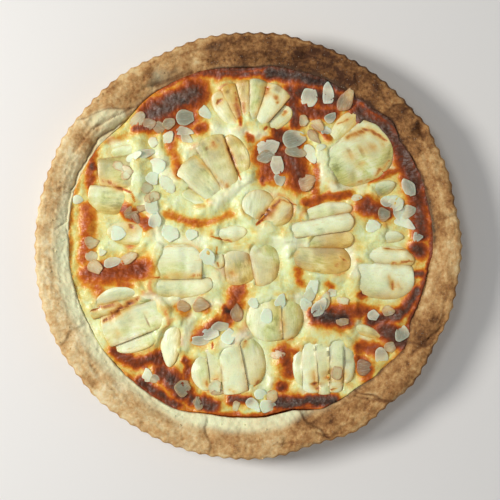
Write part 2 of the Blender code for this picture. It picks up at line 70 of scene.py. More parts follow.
def layered(points, size, octaves, seed=0):
    total, strength = np.zeros(len(points)), 1.0
    for octave in range(octaves):
        turned = points[:, [1, 2, 0]] if octave % 2 else points
        total += strength * noise(turned, size / 2**octave, seed + octave)
        strength *= 0.5
    return total / (2.0 - 0.5 ** (octaves - 1))


def rough(points, size, octaves, seed, like):
    # Layered noise in the shape of another field.
    return layered(points, size, octaves, seed).reshape(like.shape)


def bubbles(points, size, seed=0):
    # Round bumps of uneven size, 0 to 1 in height.
    cell = np.floor(points[:, :2] / size).astype(np.int64)
    height = np.zeros(len(points))
    for dx in (-1, 0, 1):
        for dy in (-1, 0, 1):
            ix, iy = cell[:, 0] + dx, cell[:, 1] + dy
            centre = np.stack([ix, iy], 1) + 0.5
            centre += 0.38 * np.stack([latticeValues(ix, iy, 1, seed), latticeValues(ix, iy, 2, seed)], 1)
            reach = 0.5 + 0.2 * latticeValues(ix, iy, 3, seed)
            away = np.linalg.norm(points[:, :2] / size - centre, axis=1) / reach
            height = np.maximum(height, reach * 1.6 * np.sqrt(np.clip(1.0 - away**2, 0.0, 1.0)))
    return height


def flat(x, y, z=0.0):
    return np.stack([x, y, np.broadcast_to(z, x.shape)], axis=-1).reshape(-1, 3).astype(float)


def turnBetween(angle, centre):
    return (angle - centre + 180.0) % 360.0 - 180.0


def aroundRim(table, angle):
    # Eases from one reading to the next round the tart.
    angles = np.array([row[0] for row in table] + [table[0][0] + 360.0])
    values = np.array([row[1] for row in table] + [table[0][1]])
    wrapped = (angle - angles[0]) % 360.0 + angles[0]
    place = np.clip(np.searchsorted(angles, wrapped, side="right") - 1, 0, len(table) - 1)
    low, high = angles[place], angles[place + 1]
    share = smooth((wrapped - low) / (high - low), 0.0, 1.0)
    return values[place] + (values[place + 1] - values[place]) * share


def alongLine(x, y, x0, y0, x1, y1):
    # How far along a line the nearest place on it is, 0 to 1, and the distance to it.
    dx, dy = x1 - x0, y1 - y0
    share = np.clip(((x - x0) * dx + (y - y0) * dy) / max(dx * dx + dy * dy, 1e-9), 0.0, 1.0)
    return share, np.hypot(x - x0 - share * dx, y - y0 - share * dy)


def strokes(x, y, rows):
    # The strongest of some soft strokes: two ends, a radius and a strength each.
    field = np.zeros(x.shape)
    for x0, y0, x1, y1, radius, strength in rows:
        share, away = alongLine(x, y, x0, y0, x1, y1)
        field = np.maximum(field, strength * (1.0 - smooth(away, 0.0, 2.0 * radius)))
    return field


def thinLines(x, y, rows, spread=1.0):
    # Soft lines and patches that taper to both ends: two ends, a radius and a strength each.
    field = np.zeros(x.shape)
    for x0, y0, x1, y1, radius, strength in rows:
        share, away = alongLine(x, y, x0, y0, x1, y1)
        reach = spread * radius * (0.45 + 0.75 * np.sin(math.pi * (0.1 + 0.8 * share)))
        field = np.maximum(field, strength * np.exp(-((away / reach) ** 2)))
    return field


# Meshes

def meshPiece(name, points, faces, finish, values=None, replaced=()):
    mesh = bpy.data.meshes.new(name)
    mesh.from_pydata((points * toMetres).tolist(), [], faces if isinstance(faces, list) else faces.tolist())
    for key, value in (values or {}).items():
        kind, field = ("FLOAT_VECTOR", "vector") if value.ndim == 2 else ("FLOAT", "value")
        attribute = mesh.attributes.new(key, kind, "POINT")
        attribute.data.foreach_set(field, value.ravel().astype(float))
    mesh.materials.append(finish)
    mesh.shade_smooth()
    piece = bpy.data.objects.new(name, mesh)
    bpy.context.scene.collection.objects.link(piece)
    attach(piece, "root")
    if replaced:
        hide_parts(*replaced)
    return piece


def gridFaces(rows, columns, wrap=True):
    index = np.arange(rows * columns).reshape(rows, columns)
    near = np.roll(index, -1, axis=1) if wrap else index[:, 1:]
    start = index if wrap else index[:, :-1]
    quads = np.stack([start[:-1], near[:-1], near[1:], start[1:]], axis=-1)
    return quads.reshape(-1, 4)


# Materials

def linear(colour):
    share = np.array(colour) / 255.0
    return tuple(np.where(share <= 0.04045, share / 12.92, ((share + 0.055) / 1.055) ** 2.4)) + (1.0,)


class Nodes:
    # A short way to write a node tree.
    def __init__(self, tree):
        self.tree = tree

    def add(self, kind, inputs=(), prefix="ShaderNode", **settings):
        node = self.tree.nodes.new(prefix + kind)
        for key, value in settings.items():
            setattr(node, key, value)
        for key, value in dict(inputs).items():
            if isinstance(value, bpy.types.NodeSocket):
                self.tree.links.new(value, node.inputs[key])
            else:
                node.inputs[key].default_value = value
        return node

    def attribute(self, name):
        return self.add("Attribute", attribute_name=name).outputs["Fac"]

    def vector(self, name):
        return self.add("Attribute", attribute_name=name).outputs["Vector"]

    def math(self, operation, a, b=0.0, clamp=False):
        return self.add("Math", {0: a, 1: b}, operation=operation, use_clamp=clamp).outputs[0]

    def addScaled(self, a, b, scale):
        return self.add("Math", {0: b, 1: scale, 2: a}, operation="MULTIPLY_ADD").outputs[0]

    def noise(self, coordinates, scale, detail=4.0, roughness=0.55, distortion=0.0):
        inputs = {"Vector": coordinates, "Scale": scale, "Detail": detail, "Roughness": roughness,
                  "Distortion": distortion}
        return self.add("TexNoise", inputs).outputs["Fac"]

    def unevenness(self, coordinates, mottleScale, grainScale):
        inputs = {"Vector": coordinates, "Mottle Scale": mottleScale, "Grain Scale": grainScale}
        node = self.add("Group", inputs, node_tree=unevenGroup)
        return node.outputs["Mottle"], node.outputs["Grain"]

    def voronoi(self, coordinates, scale):
        return self.add("TexVoronoi", {"Vector": coordinates, "Scale": scale}).outputs["Distance"]

    def remap(self, value, low, high, newLow=0.0, newHigh=1.0):
        inputs = {"Value": value, "From Min": low, "From Max": high, "To Min": newLow, "To Max": newHigh}
        return self.add("MapRange", inputs).outputs["Result"]

    def ramp(self, value, stops):
        node = self.add("ValToRGB", {"Fac": value})
        elements = node.color_ramp.elements
        while len(elements) < len(stops):
            elements.new(0.5)
        for element, (place, colour) in zip(elements, stops):
            element.position, element.color = place, linear(colour)
        return node.outputs["Color"]

    def mix(self, share, a, b):
        return self.add("Mix", {0: share, 6: a, 7: b}, data_type="RGBA").outputs[2]

    def centred(self, value):
        return self.math("SUBTRACT", value, 0.5)

    def bump(self, height, distance, strength, normal=None):
        inputs = {"Height": height, "Distance": distance, "Strength": strength}
        if normal:
            inputs["Normal"] = normal
        return self.add("Bump", inputs).outputs["Normal"]

    def link(self, output, target):
        self.tree.links.new(output, target)


def makeUnevenGroup():
    # Cloudy mottle and fine grain, which every finish uses at its own two scales.
    tree = bpy.data.node_groups.new("uneven", "ShaderNodeTree")
    tree.interface.new_socket("Vector", in_out="INPUT", socket_type="NodeSocketVector")
    for name in ("Mottle Scale", "Grain Scale"):
        tree.interface.new_socket(name, in_out="INPUT", socket_type="NodeSocketFloat")
    for name in ("Mottle", "Grain"):
        tree.interface.new_socket(name, in_out="OUTPUT", socket_type="NodeSocketFloat")
    start, end = tree.nodes.new("NodeGroupInput"), tree.nodes.new("NodeGroupOutput")
    n = Nodes(tree)
    place = start.outputs["Vector"]
    n.link(n.noise(place, start.outputs["Mottle Scale"], 5.0, 0.6), end.inputs["Mottle"])
    n.link(n.noise(place, start.outputs["Grain Scale"], 4.0, 0.62), end.inputs["Grain"])
    return tree


unevenGroup = makeUnevenGroup()


def newMaterial(name, colour, **constants):
    made = bpy.data.materials.new(name)
    made.use_nodes = True
    made.diffuse_color = linear(colour)
    shader = made.node_tree.nodes["Principled BSDF"]
    for key, value in constants.items():
        shader.inputs[key.replace("_", " ")].default_value = value
    return made, Nodes(made.node_tree), shader


def pastryMaterial():
    made, n, shader = newMaterial("pastry", (206, 180, 135), Subsurface_Weight=0.05,
                                  Subsurface_Scale=0.002, Specular_IOR_Level=0.25)
    place = n.add("TexCoord").outputs["Object"]
    toast, cream, creaseShade = (n.attribute(key) for key in ("toast", "cream", "creaseShade"))
    mottle, grain = n.unevenness(place, 90.0, 520.0)
    speck = n.voronoi(place, 700.0)
    # The toast carries the browning and, by angle, a painted shade.
    shade = n.addScaled(toast, n.centred(mottle), 1.0)
    shade = n.addScaled(shade, n.centred(grain), 0.6)
    colour = n.ramp(shade, ((0.0, (232, 214, 170)), (0.2, (216, 186, 134)), (0.4, (194, 152, 98)),
                            (0.6, (160, 114, 66)), (0.8, (116, 76, 40)), (1.0, (72, 42, 22))))
    # The pale mix is the creamy inner edge: pale dough, and painted light on its slope.
    paleShare = n.math("MULTIPLY", cream, n.remap(mottle, 0.3, 0.6, 0.55, 1.0), clamp=True)
    colour = n.mix(paleShare, colour, linear((236, 236, 192)))
    flour = n.math("MULTIPLY", n.remap(speck, 0.22, 0.08), n.remap(grain, 0.45, 0.6), clamp=True)
    colour = n.mix(n.math("MULTIPLY", flour, 0.35), colour, linear((250, 240, 214)))
    # Painted shade in the creases, cracks and pleat steps.
    colour = n.mix(n.math("MULTIPLY", creaseShade, 0.8, clamp=True), colour, linear((104, 66, 36)))
    n.link(colour, shader.inputs["Base Color"])
    n.link(n.remap(grain, 0.3, 0.7, 0.72, 0.92), shader.inputs["Roughness"])
    fine = n.bump(grain, 0.0006, 0.55)
    n.link(n.bump(n.noise(place, 1400.0, 3.0, 0.6), 0.0004, 0.5, fine), shader.inputs["Normal"])
    return made


def custardMaterial():
    made, n, shader = newMaterial("custard", (228, 214, 160), Subsurface_Weight=0.12,
                                  Subsurface_Scale=0.003,
                                  Subsurface_Radius=(1.0, 0.55, 0.2), Specular_IOR_Level=0.32)
    place = n.add("TexCoord").outputs["Object"]
    bake, cream, paintedSheen = (n.attribute(key) for key in ("bake", "cream", "paintedSheen"))
    mottle, grain = n.unevenness(place, 160.0, 640.0)
    shade = n.addScaled(bake, n.centred(mottle), 0.36)
    shade = n.addScaled(shade, n.centred(grain), 0.12)
    colour = n.ramp(shade, ((0.0, (234, 243, 202)), (0.12, (222, 229, 164)), (0.24, (224, 202, 108)),
                            (0.36, (218, 144, 40)), (0.50, (188, 90, 16)), (0.66, (138, 58, 14)),
                            (0.82, (88, 44, 20)), (1.0, (42, 26, 18))))
    colour = n.mix(n.math("MULTIPLY", cream, 0.8, clamp=True), colour, linear((242, 244, 208)))
    # Painted sheen: grey-purple speckles on the burnt skin's high points stand in for glints.
    sheenSpots = n.math("MULTIPLY", paintedSheen, n.remap(grain, 0.42, 0.62, 0.1, 1.0), clamp=True)
    colour = n.mix(n.math("MULTIPLY", sheenSpots, 0.34), colour, linear((156, 136, 120)))
    n.link(colour, shader.inputs["Base Color"])
    matt = n.remap(bake, 0.35, 0.65, 0.30, 0.44)
    n.link(n.addScaled(matt, n.centred(grain), 0.4), shader.inputs["Roughness"])
    fine = n.bump(mottle, 0.0006, 0.35)
    n.link(n.bump(n.voronoi(place, 900.0), 0.0004, 0.35, fine), shader.inputs["Normal"])
    return made


def pearMaterial():
    made, n, shader = newMaterial("pear_flesh", (206, 210, 156), Subsurface_Weight=0.2,
                                  Subsurface_Scale=0.004,
                                  Subsurface_Radius=(1.0, 0.8, 0.35), Specular_IOR_Level=0.5)
    tan, pale, cut, edge, mark = (n.attribute(key) for key in ("tan", "pale", "cut", "edge", "mark"))
    clear, browned = n.attribute("clear"), n.attribute("browned")
    fibres = n.noise(n.vector("grain"), 1.6, 6.0, 0.65, 0.3)
    place = n.add("TexCoord").outputs["Object"]
    mottle, grain = n.unevenness(place, 130.0, 900.0)
    streak, uneven = n.centred(fibres), n.centred(mottle)
    broad = n.noise(place, 48.0, 4.0, 0.6, 0.6)
    cloud = n.addScaled(n.remap(broad, 0.36, 0.64), streak, 1.4)
    cloud = n.addScaled(cloud, uneven, 0.7)
    green = n.ramp(cloud, ((0.0, (154, 158, 88)), (0.25, (192, 197, 118)), (0.55, (214, 221, 148)),
                           (0.8, (228, 238, 186)), (1.0, (242, 249, 214))))
    clearShare = n.addScaled(n.math("MULTIPLY", clear, 0.75), streak, 0.3)
    colour = n.mix(n.math("MULTIPLY", clearShare, 1.0, clamp=True), green, linear((178, 186, 148)))
    yellow = n.remap(n.noise(place, 31.0, 3.0, 0.5), 0.5, 0.68, 0.0, 0.5)
    colour = n.mix(yellow, colour, linear((224, 206, 122)))
    # pale holds the slices' own paleness and a painted highlight on the side toward the light; tan holds
    # browning and a painted shade on the side away from it.
    paleShare = n.addScaled(n.addScaled(pale, uneven, 1.2), streak, 0.4)
    colour = n.mix(n.math("MULTIPLY", paleShare, 0.9, clamp=True), colour, linear((240, 249, 208)))
    tanShare = n.addScaled(n.addScaled(tan, uneven, 0.8), streak, 0.4)
    amber = n.ramp(cloud, ((0.0, (188, 124, 38)), (0.5, (220, 172, 72)), (1.0, (236, 208, 122))))
    colour = n.mix(n.math("MULTIPLY", tanShare, 0.95, clamp=True), colour, amber)
    edgeShare = n.math("MULTIPLY", edge, n.remap(mottle, 0.38, 0.62, 0.0, 0.9), clamp=True)
    colour = n.mix(edgeShare, colour, linear((222, 178, 92)))
    # Along the knife cuts: browning, and painted shade in the gap between slices.
    cutBrownAndShade = n.math("MULTIPLY", cut, n.remap(mottle, 0.35, 0.65, 0.15, 1.1), clamp=True)
    colour = n.mix(cutBrownAndShade, colour, linear((170, 110, 38)))
    colour = n.mix(mark, colour, linear((148, 88, 26)))
    colour = n.mix(n.remap(fibres, 0.56, 0.72, 0.0, 0.4), colour, linear((208, 176, 92)))
    brown = n.addScaled(browned, uneven, 0.4)
    golden = n.ramp(brown, ((0.0, (228, 214, 140)), (0.3, (224, 184, 96)), (0.55, (190, 118, 48)),
                            (0.78, (132, 72, 28)), (1.0, (74, 38, 18))))
    colour = n.mix(n.remap(browned, 0.08, 0.42), colour, golden)
    n.link(colour, shader.inputs["Base Color"])
    n.link(n.remap(grain, 0.3, 0.7, 0.20, 0.42), shader.inputs["Roughness"])
    fine = n.bump(fibres, 0.0006, 0.5)
    n.link(n.bump(grain, 0.0002, 0.3, fine), shader.inputs["Normal"])
    return made


def almondMaterial():
    made, n, shader = newMaterial("almond", (214, 212, 190), Subsurface_Weight=0.2, Subsurface_Scale=0.002,
                                  Specular_IOR_Level=0.45)
    place = n.add("TexCoord").outputs["Object"]
    skin, toast, rim, under = (n.attribute(key) for key in ("skin", "toast", "rim", "under"))
    mottle, grain = n.unevenness(place, 260.0, 700.0)
    toasted = n.addScaled(toast, n.centred(mottle), 0.5)
    colour = n.ramp(toasted, ((0.0, (234, 245, 222)), (0.25, (224, 222, 186)), (0.5, (212, 176, 118)),
                              (0.75, (168, 106, 56)), (1.0, (98, 52, 26))))
    # The thin middle takes on the colour of what lies under it.
    thin = n.remap(rim, 0.1, 0.9, 1.0, 0.5)
    ground = n.ramp(n.addScaled(under, n.centred(mottle), 0.3), (
        (0.0, (220, 222, 172)), (0.3, (208, 172, 112)), (0.55, (150, 122, 92)), (0.8, (112, 108, 88))))
    colour = n.mix(n.math("MULTIPLY", thin, n.remap(under, 0.2, 0.8, 0.42, 0.8)), colour, ground)
    veins = n.noise(n.vector("grain"), 1.0, 2.0, 0.5)
    colour = n.mix(n.remap(veins, 0.5, 0.7, 0.0, 0.2), colour, linear((244, 246, 228)))
    skinned = n.math("MULTIPLY", rim, skin)
    rimShare = n.math("MULTIPLY", skinned, n.remap(mottle, 0.46, 0.66, 0.0, 0.7), clamp=True)
    colour = n.mix(rimShare, colour, linear((176, 120, 68)))
    n.link(colour, shader.inputs["Base Color"])
    n.link(n.remap(mottle, 0.3, 0.7, 0.28, 0.48), shader.inputs["Roughness"])
    n.link(n.bump(grain, 0.0003, 0.4), shader.inputs["Normal"])
    return made


# The pastry case

case = {
    "rim": 140.0, "base": 131.5, "height": 30.0, "floor": 4.0, "flutes": 108, "fluteDepth": 1.3,
    "opening": 118.0, "lipTop": 24.8, "lipThickness": 3.2, "underside": 21.4, "wallInside": 130.5,
    "floorCorner": 123.0, "columns": 1080,
    # Widths and heights of the roundings at the base, the crest and the lip, and the CAD's limits.
    "heel": 4.0, "heelRound": 0.8, "crestRound": 2.6, "crestWidth": 3.4, "crown": 1.1, "lipRound": 1.2,
    "wallRows": 27, "crestRows": 6, "collarRows": 30, "lipRows": 5, "widest": 139.95, "highest": 31.85,
    # The collar's inner edge by angle.
    "edge": (
        (0, 121.5), (20, 122.0), (34, 121.0), (41, 124.5), (48, 121.5), (62, 120.5), (80, 119.0),
        (90, 117.0), (105, 118.5), (120, 118.0), (135, 114.5), (150, 118.5), (165, 119.5), (180, 118.0),
        (205, 116.5), (225, 116.5), (245, 117.0), (258, 112.5), (270, 112.0), (284, 110.5), (296, 117.0),
        (306, 117.0), (316, 119.0), (327, 122.0), (337, 117.0), (350, 118.0),
    ),
    # Angle, half width and change of the outer radius.
    "dents": (
        (12, 7, -1.6), (34, 3, 1.6), (81, 4, 0.8), (114, 8, -1.8), (150, 6, 1.0), (202, 16, 1.2),
        (226, 6, 1.0), (288, 8, -2.6), (300, 4, 0.8), (311, 4, -1.2), (321, 4, 0.9), (333, 6, -1.6),
        (350, 5, -0.8),
    ),
    # Angle, slant, step and reach of each pleat.
    "pleats": (
        (310, 6, 2.0, 9), (291, 6, -1.4, 7), (330, 6, -1.8, 8), (137, 15, 1.4, 12), (72, -8, -1.4, 7),
        (44, -5, 1.6, 6), (206, 3, -0.9, 5), (163, 2, -0.9, 3), (9, 1, 0.8, 5), (258, 4, -1.0, 6),
    ),
    # Angle, radius, depth and size of each dimple.
    "dimples": (
        (34, 135.0, 3.0, 4.0), (73, 131.0, 2.0, 4.5), (281, 131.0, 1.8, 4.0), (257, 125.0, 1.5, 4.0),
        (119, 122.0, 1.5, 5.0), (222, 134.0, 1.2, 3.0), (100, 128.0, 1.0, 7.0), (190, 127.0, 0.8, 8.0),
    ),
    # Grooves where the dough laps or cracked: angle and radius of both ends, width, depth, and how dark the
    # painted shade in the groove is.
    "creases": (
        (8, 123, 8.6, 138, 0.7, 0.7, 0.5), (31, 134, 36, 137, 1.6, 1.6, 0.7),
        (55, 126, 58, 132, 1.4, 1.5, 0.8), (70, 131, 76, 133, 1.1, 1.0, 0.7),
        (72, 128, 84, 122.5, 1.0, 1.2, 0.6), (100, 131, 112, 133, 1.8, 0.7, 0.3),
        (117, 121, 123, 124, 1.8, 1.2, 0.6), (120, 118, 129, 117.5, 0.9, 0.8, 0.8),
        (129, 118, 136, 122, 0.9, 1.2, 0.7), (136, 122, 143, 127, 1.1, 1.5, 0.8),
        (143, 127, 152, 129.5, 1.4, 1.0, 0.4), (163, 119, 164, 125, 0.8, 0.9, 0.6),
        (172, 120, 175, 127, 0.8, 1.0, 0.7), (175, 119.5, 200, 118.6, 0.7, 0.7, 0.7),
        (216, 128, 224, 131, 2.0, 0.6, 0.2), (240, 124, 250, 127, 1.8, 0.6, 0.2),
        (277, 131, 283, 131.5, 0.9, 1.0, 0.6), (290, 129, 294, 138, 1.0, 1.2, 0.5),
        (305.5, 121, 308, 127, 1.1, 1.6, 0.8), (308, 127, 313, 137, 1.2, 1.7, 0.8),
        (298, 121, 305, 123, 0.9, 0.8, 0.5), (326, 128, 333, 132, 1.2, 1.3, 0.6),
        (333, 132, 338, 138, 1.2, 1.4, 0.6), (133, 115.5, 139.4, 117.1, 1.36, 2.7, 1.0),
        (139.4, 117.1, 144.7, 121.7, 1.36, 3.0, 1.0), (144.7, 121.7, 152.4, 120.8, 1.27, 2.7, 1.0),
        (152.4, 120.8, 162.7, 122.4, 1.1, 2.25, 1.0), (162.7, 122.4, 172, 121, 1.0, 1.0, 0.5),
        (108, 119.5, 121, 122, 1.7, 1.8, 0.9), (344, 124, 352, 127, 1.8, 0.7, 0.3),
        (20, 126, 28, 129, 1.6, 0.7, 0.3), (44, 128, 50, 134, 1.2, 1.0, 0.5),
    ),
    # How brown the collar is, and how creamy its inner edge is, by angle. The browning is part real and part
    # painted shade: darker to the top and right, lighter to the left toward the light.
    "toast": (
        (0, 0.46), (25, 0.62), (45, 0.86), (68, 0.88), (90, 0.74), (110, 0.56), (135, 0.46), (160, 0.28),
        (190, 0.16), (215, 0.28), (245, 0.42), (275, 0.46), (300, 0.58), (325, 0.66), (345, 0.54),
    ),
    # The cream is part pale dough and part painted light on the inner slope at the left and bottom.
    "cream": (
        (0, 0.10), (60, 0.05), (100, 0.10), (135, 0.40), (160, 0.75), (180, 1.0), (212, 0.98), (235, 0.82),
        (255, 1.10), (280, 1.05), (295, 0.40), (320, 0.10),
    ),
}


def collarRelief(radius, angle):
    across = (radius - case["opening"]) / (case["rim"] - case["opening"]) - 0.5
    height, creaseShade = np.zeros(radius.shape), np.zeros(radius.shape)
    for centre, slant, step, reach in case["pleats"]:
        past = turnBetween(angle, centre + slant * across + 0.6 * np.sin(across * 9.0 + centre))
        height += step * np.exp(-np.abs(past) / reach) * smooth(past, -0.25, 0.35)
        # A painted shade line at each pleat's step.
        creaseShade += np.exp(-((past / 0.45) ** 2)) * smooth(np.abs(step), 0.5, 1.8)
    for centre, atRadius, depth, size in case["dimples"]:
        along = np.radians(turnBetween(angle, centre)) * radius
        height -= depth * np.exp(-(along**2 + (radius - atRadius) ** 2) / size**2)
    return height, creaseShade


def creases(x, y):
    depth, dark = np.zeros(x.shape), np.zeros(x.shape)
    for angle0, radius0, angle1, radius1, width, deep, shade in case["creases"]:
        a, b = math.radians(angle0), math.radians(angle1)
        start = radius0 * math.cos(a), radius0 * math.sin(a)
        share, away = alongLine(x, y, *start, radius1 * math.cos(b), radius1 * math.sin(b))
        width = width * (0.35 + 0.65 * np.sin(math.pi * (0.12 + 0.76 * share)))
        depth += deep * np.exp(-((away / width) ** 2))
        # How dark the painted shade in the groove is.
        dark = np.maximum(dark, shade * np.exp(-((away / (0.55 * width)) ** 2)))
    return depth, dark


def innerEdge(angle):
    turn = np.radians(angle)
    ring = flat(case["opening"] * np.cos(turn), case["opening"] * np.sin(turn))
    return aroundRim(case["edge"], angle % 360.0) + 0.6 * rough(ring, 9.0, 3, 7, turn)


def rimChange(angle):
    changes = np.zeros(angle.shape)
    for centre, width, change in case["dents"]:
        changes += change * np.exp(-((turnBetween(angle, centre) / width) ** 2))
    return changes


def caseProfile():
    # Radius, height, and how far each row belongs to the collar and to the fluted wall.
    c = case
    wallTop, crestInside = c["height"] - c["crestRound"], c["rim"] - c["crestWidth"]
    lip = c["opening"] + c["lipRound"]
    rows = [(0.0, 0.0, 0, 0), (c["base"] - c["heel"], 0.0, 0, 0), (c["base"] - c["heelRound"], 0.0, 0, 0.8)]
    for share in np.linspace(0.02, 1.0, c["wallRows"]):
        rows.append((c["base"] + (c["rim"] - c["base"]) * share, share * wallTop, 0, 1.0))
    for share in np.linspace(0.15, 1.0, c["crestRows"]):
        turn = share * math.pi / 2
        radius = crestInside + c["crestWidth"] * math.cos(turn)
        height = wallTop + c["crestRound"] * math.sin(turn)
        rows.append((radius, height, smooth(share, 0.3, 1.0), 1.0 - 0.7 * share))
    for share in np.linspace(0.04, 1.0, c["collarRows"]):
        radius = crestInside + (lip - crestInside) * share
        height = c["height"] + (c["lipTop"] + 0.6 - c["height"]) * share**1.15
        height += c["crown"] * math.sin(math.pi * min(1.0, share * 1.1))
        rows.append((radius, height, 1.0, 0.3 * (1.0 - smooth(share, 0.0, 0.3))))
    for share in np.linspace(0.2, 1.0, c["lipRows"]):
        turn = share * math.pi / 2
        height = c["lipTop"] - 0.8 + 1.4 * math.cos(turn)
        rows.append((lip - c["lipRound"] * math.sin(turn), height, 1.0, 0))
    rows += [
        (c["opening"] + 0.1, c["lipTop"] - 2.0, 0.6, 0), (lip, c["lipTop"] - c["lipThickness"], 0, 0),
        (c["wallInside"], c["underside"] - 1.2, 0, 0), (c["floorCorner"], c["floor"], 0, 0),
        (0.0, c["floor"], 0, 0),
    ]
    return np.array([[float(value) for value in row] for row in rows])


def makeCase(finish):
    profile = caseProfile()
    rows, columns = len(profile), case["columns"]
    angle = np.broadcast_to(np.arange(columns) * 360.0 / columns, (rows, columns))
    radius, height, collar, wall = (np.repeat(profile[:, [i]], columns, axis=1) for i in range(4))
    inner = innerEdge(angle)
    share = smooth(radius, case["opening"] - 6.0, case["wallInside"] + 5.0)
    hidden = (height < case["underside"] - 1.5) & (radius < case["wallInside"])
    radius = np.where(hidden, radius, radius + (inner - case["opening"]) * (1.0 - share) * (radius > 60.0))
    turn = np.radians(angle)
    place = flat(radius * np.cos(turn), radius * np.sin(turn), height)
    wave = rough(place, 26.0, 3, 3, angle)
    lumps = rough(place, 7.0, 3, 11, angle)
    mealy = rough(place, 2.2, 2, 19, angle)
    along = flat(np.radians(angle) * 128.0 + 4.0 * wave, 2.6 * radius + 0.9 * height + 5.0 * wave)
    layers = (1.0 - 2.2 * np.abs(layered(along, 16.0, 3, 37))).reshape(angle.shape).clip(-0.5, 1.0)
    relief, creaseShade = collarRelief(radius, angle)
    outside = smooth(radius, case["wallInside"], case["rim"]) * (height > 0.001)
    seen = np.maximum(collar, outside * (wall > 0.0))
    flute = 0.5 - 0.5 * np.cos(np.radians(angle + 0.35 * wave) * case["flutes"])
    depth = case["fluteDepth"] * wall * (0.9 + 0.35 * lumps)
    inset = rimChange(angle) * outside - depth * np.abs(flute) ** 0.8
    radius = radius + inset * (wall > 0) - 0.35 * np.abs(mealy) * wall * (height > 0.5)
    slump = collar * (0.5 * lumps + 0.9 * wave)
    radius += slump * smooth(139.0 - radius, 0.0, 6.0) * smooth(radius - inner, 0.2, 5.0)
    edgeNear = smooth(-(radius - inner), -16.0, -2.0)
    groove, dark = creases(radius * np.cos(turn) + 1.5 * lumps, radius * np.sin(turn) + 1.5 * wave)
    creaseShade = creaseShade + dark
    uneven = relief * smooth(radius, inner + 0.5, inner + 6.0) + 0.9 * wave + 0.75 * lumps + 0.45 * mealy
    height = height + collar * (uneven + 0.5 * layers - 0.5 * edgeNear * np.abs(lumps) - 0.9 * groove)
    pits = np.clip(rough(place, 4.2, 2, 31, angle) - 0.35, 0.0, 1.0)
    height -= collar * 1.6 * pits
    # toastHere is part browning and part painted shade, darker away from the light.
    toastHere, creamHere = aroundRim(case["toast"], angle), aroundRim(case["cream"], angle)
    toast = toastHere + 0.24 * wave + 0.14 * lumps + 0.25 * pits - 0.05 * layers + 0.10 * mealy
    crest = np.exp(-(((radius - case["rim"] + 6.0) / 5.0) ** 2)) * collar
    toast += 0.10 * crest - 0.12 * collar * (height > 29.5)
    toast = np.where(wall > 0.9, 0.34 + 0.16 * wave + 0.18 * smooth(height, 10.0, 28.0), toast)
    # The wall darkens a little in its flute grooves; the collar is lighter on raised pleats and darker in
    # dimples, a painted shade.
    toast += 0.12 * flute * wall - 0.22 * relief.clip(-1, 1) * collar * 0.3
    # Part pale dough, part painted light on the inner slope.
    cream = aroundRim(case["cream"], angle + 2.0 * wave)
    cream = cream * smooth(inner + 9.0 * cream**2 + 3.0 * wave - radius, -3.0, 4.0) * collar
    floury = rough(place + 17.0, 13.0, 3, 43, angle)
    northWest = np.exp(-((turnBetween(angle, 138.0) / 22.0) ** 2))
    cream += 0.75 * smooth(floury, -0.05, 0.5) * northWest * collar * smooth(135.0 - radius, 0.0, 6.0)
    lipDark = smooth(inner + 1.2 - radius, -0.8, 1.4) * collar * (0.35 + 0.4 * toastHere)
    lipDark *= (1.0 - creamHere).clip(0.0, 1.0)
    x = np.clip(radius * np.cos(turn), -case["widest"], case["widest"])
    y = np.clip(radius * np.sin(turn), -case["widest"], case["widest"])
    points = flat(x, y, np.clip(height, 0.0, case["highest"]))
    values = {"toast": toast + 0.5 * lipDark, "cream": cream, "creaseShade": np.clip(creaseShade * collar, 0.0, 1.0)}
    values = {key: value.ravel() * seen.ravel() for key, value in values.items()}
    values["toast"] = np.where(seen.ravel() > 0, values["toast"], 0.35)
    # The two middle points become one flat face each, under the case and on its floor.
    used = slice(columns, (rows - 1) * columns)
    points, values = points[used], {key: value[used] for key, value in values.items()}
    bottom, top = list(range(columns))[::-1], list(range(len(points) - columns, len(points)))
    faces = gridFaces(rows - 2, columns).tolist() + [bottom, top]
    return meshPiece("pastry_case", points, faces, finish, values, ("crust",))


# The pear slices: ends, widths at the stalk, middle and round end, bow, top, roll, how tan, how pale

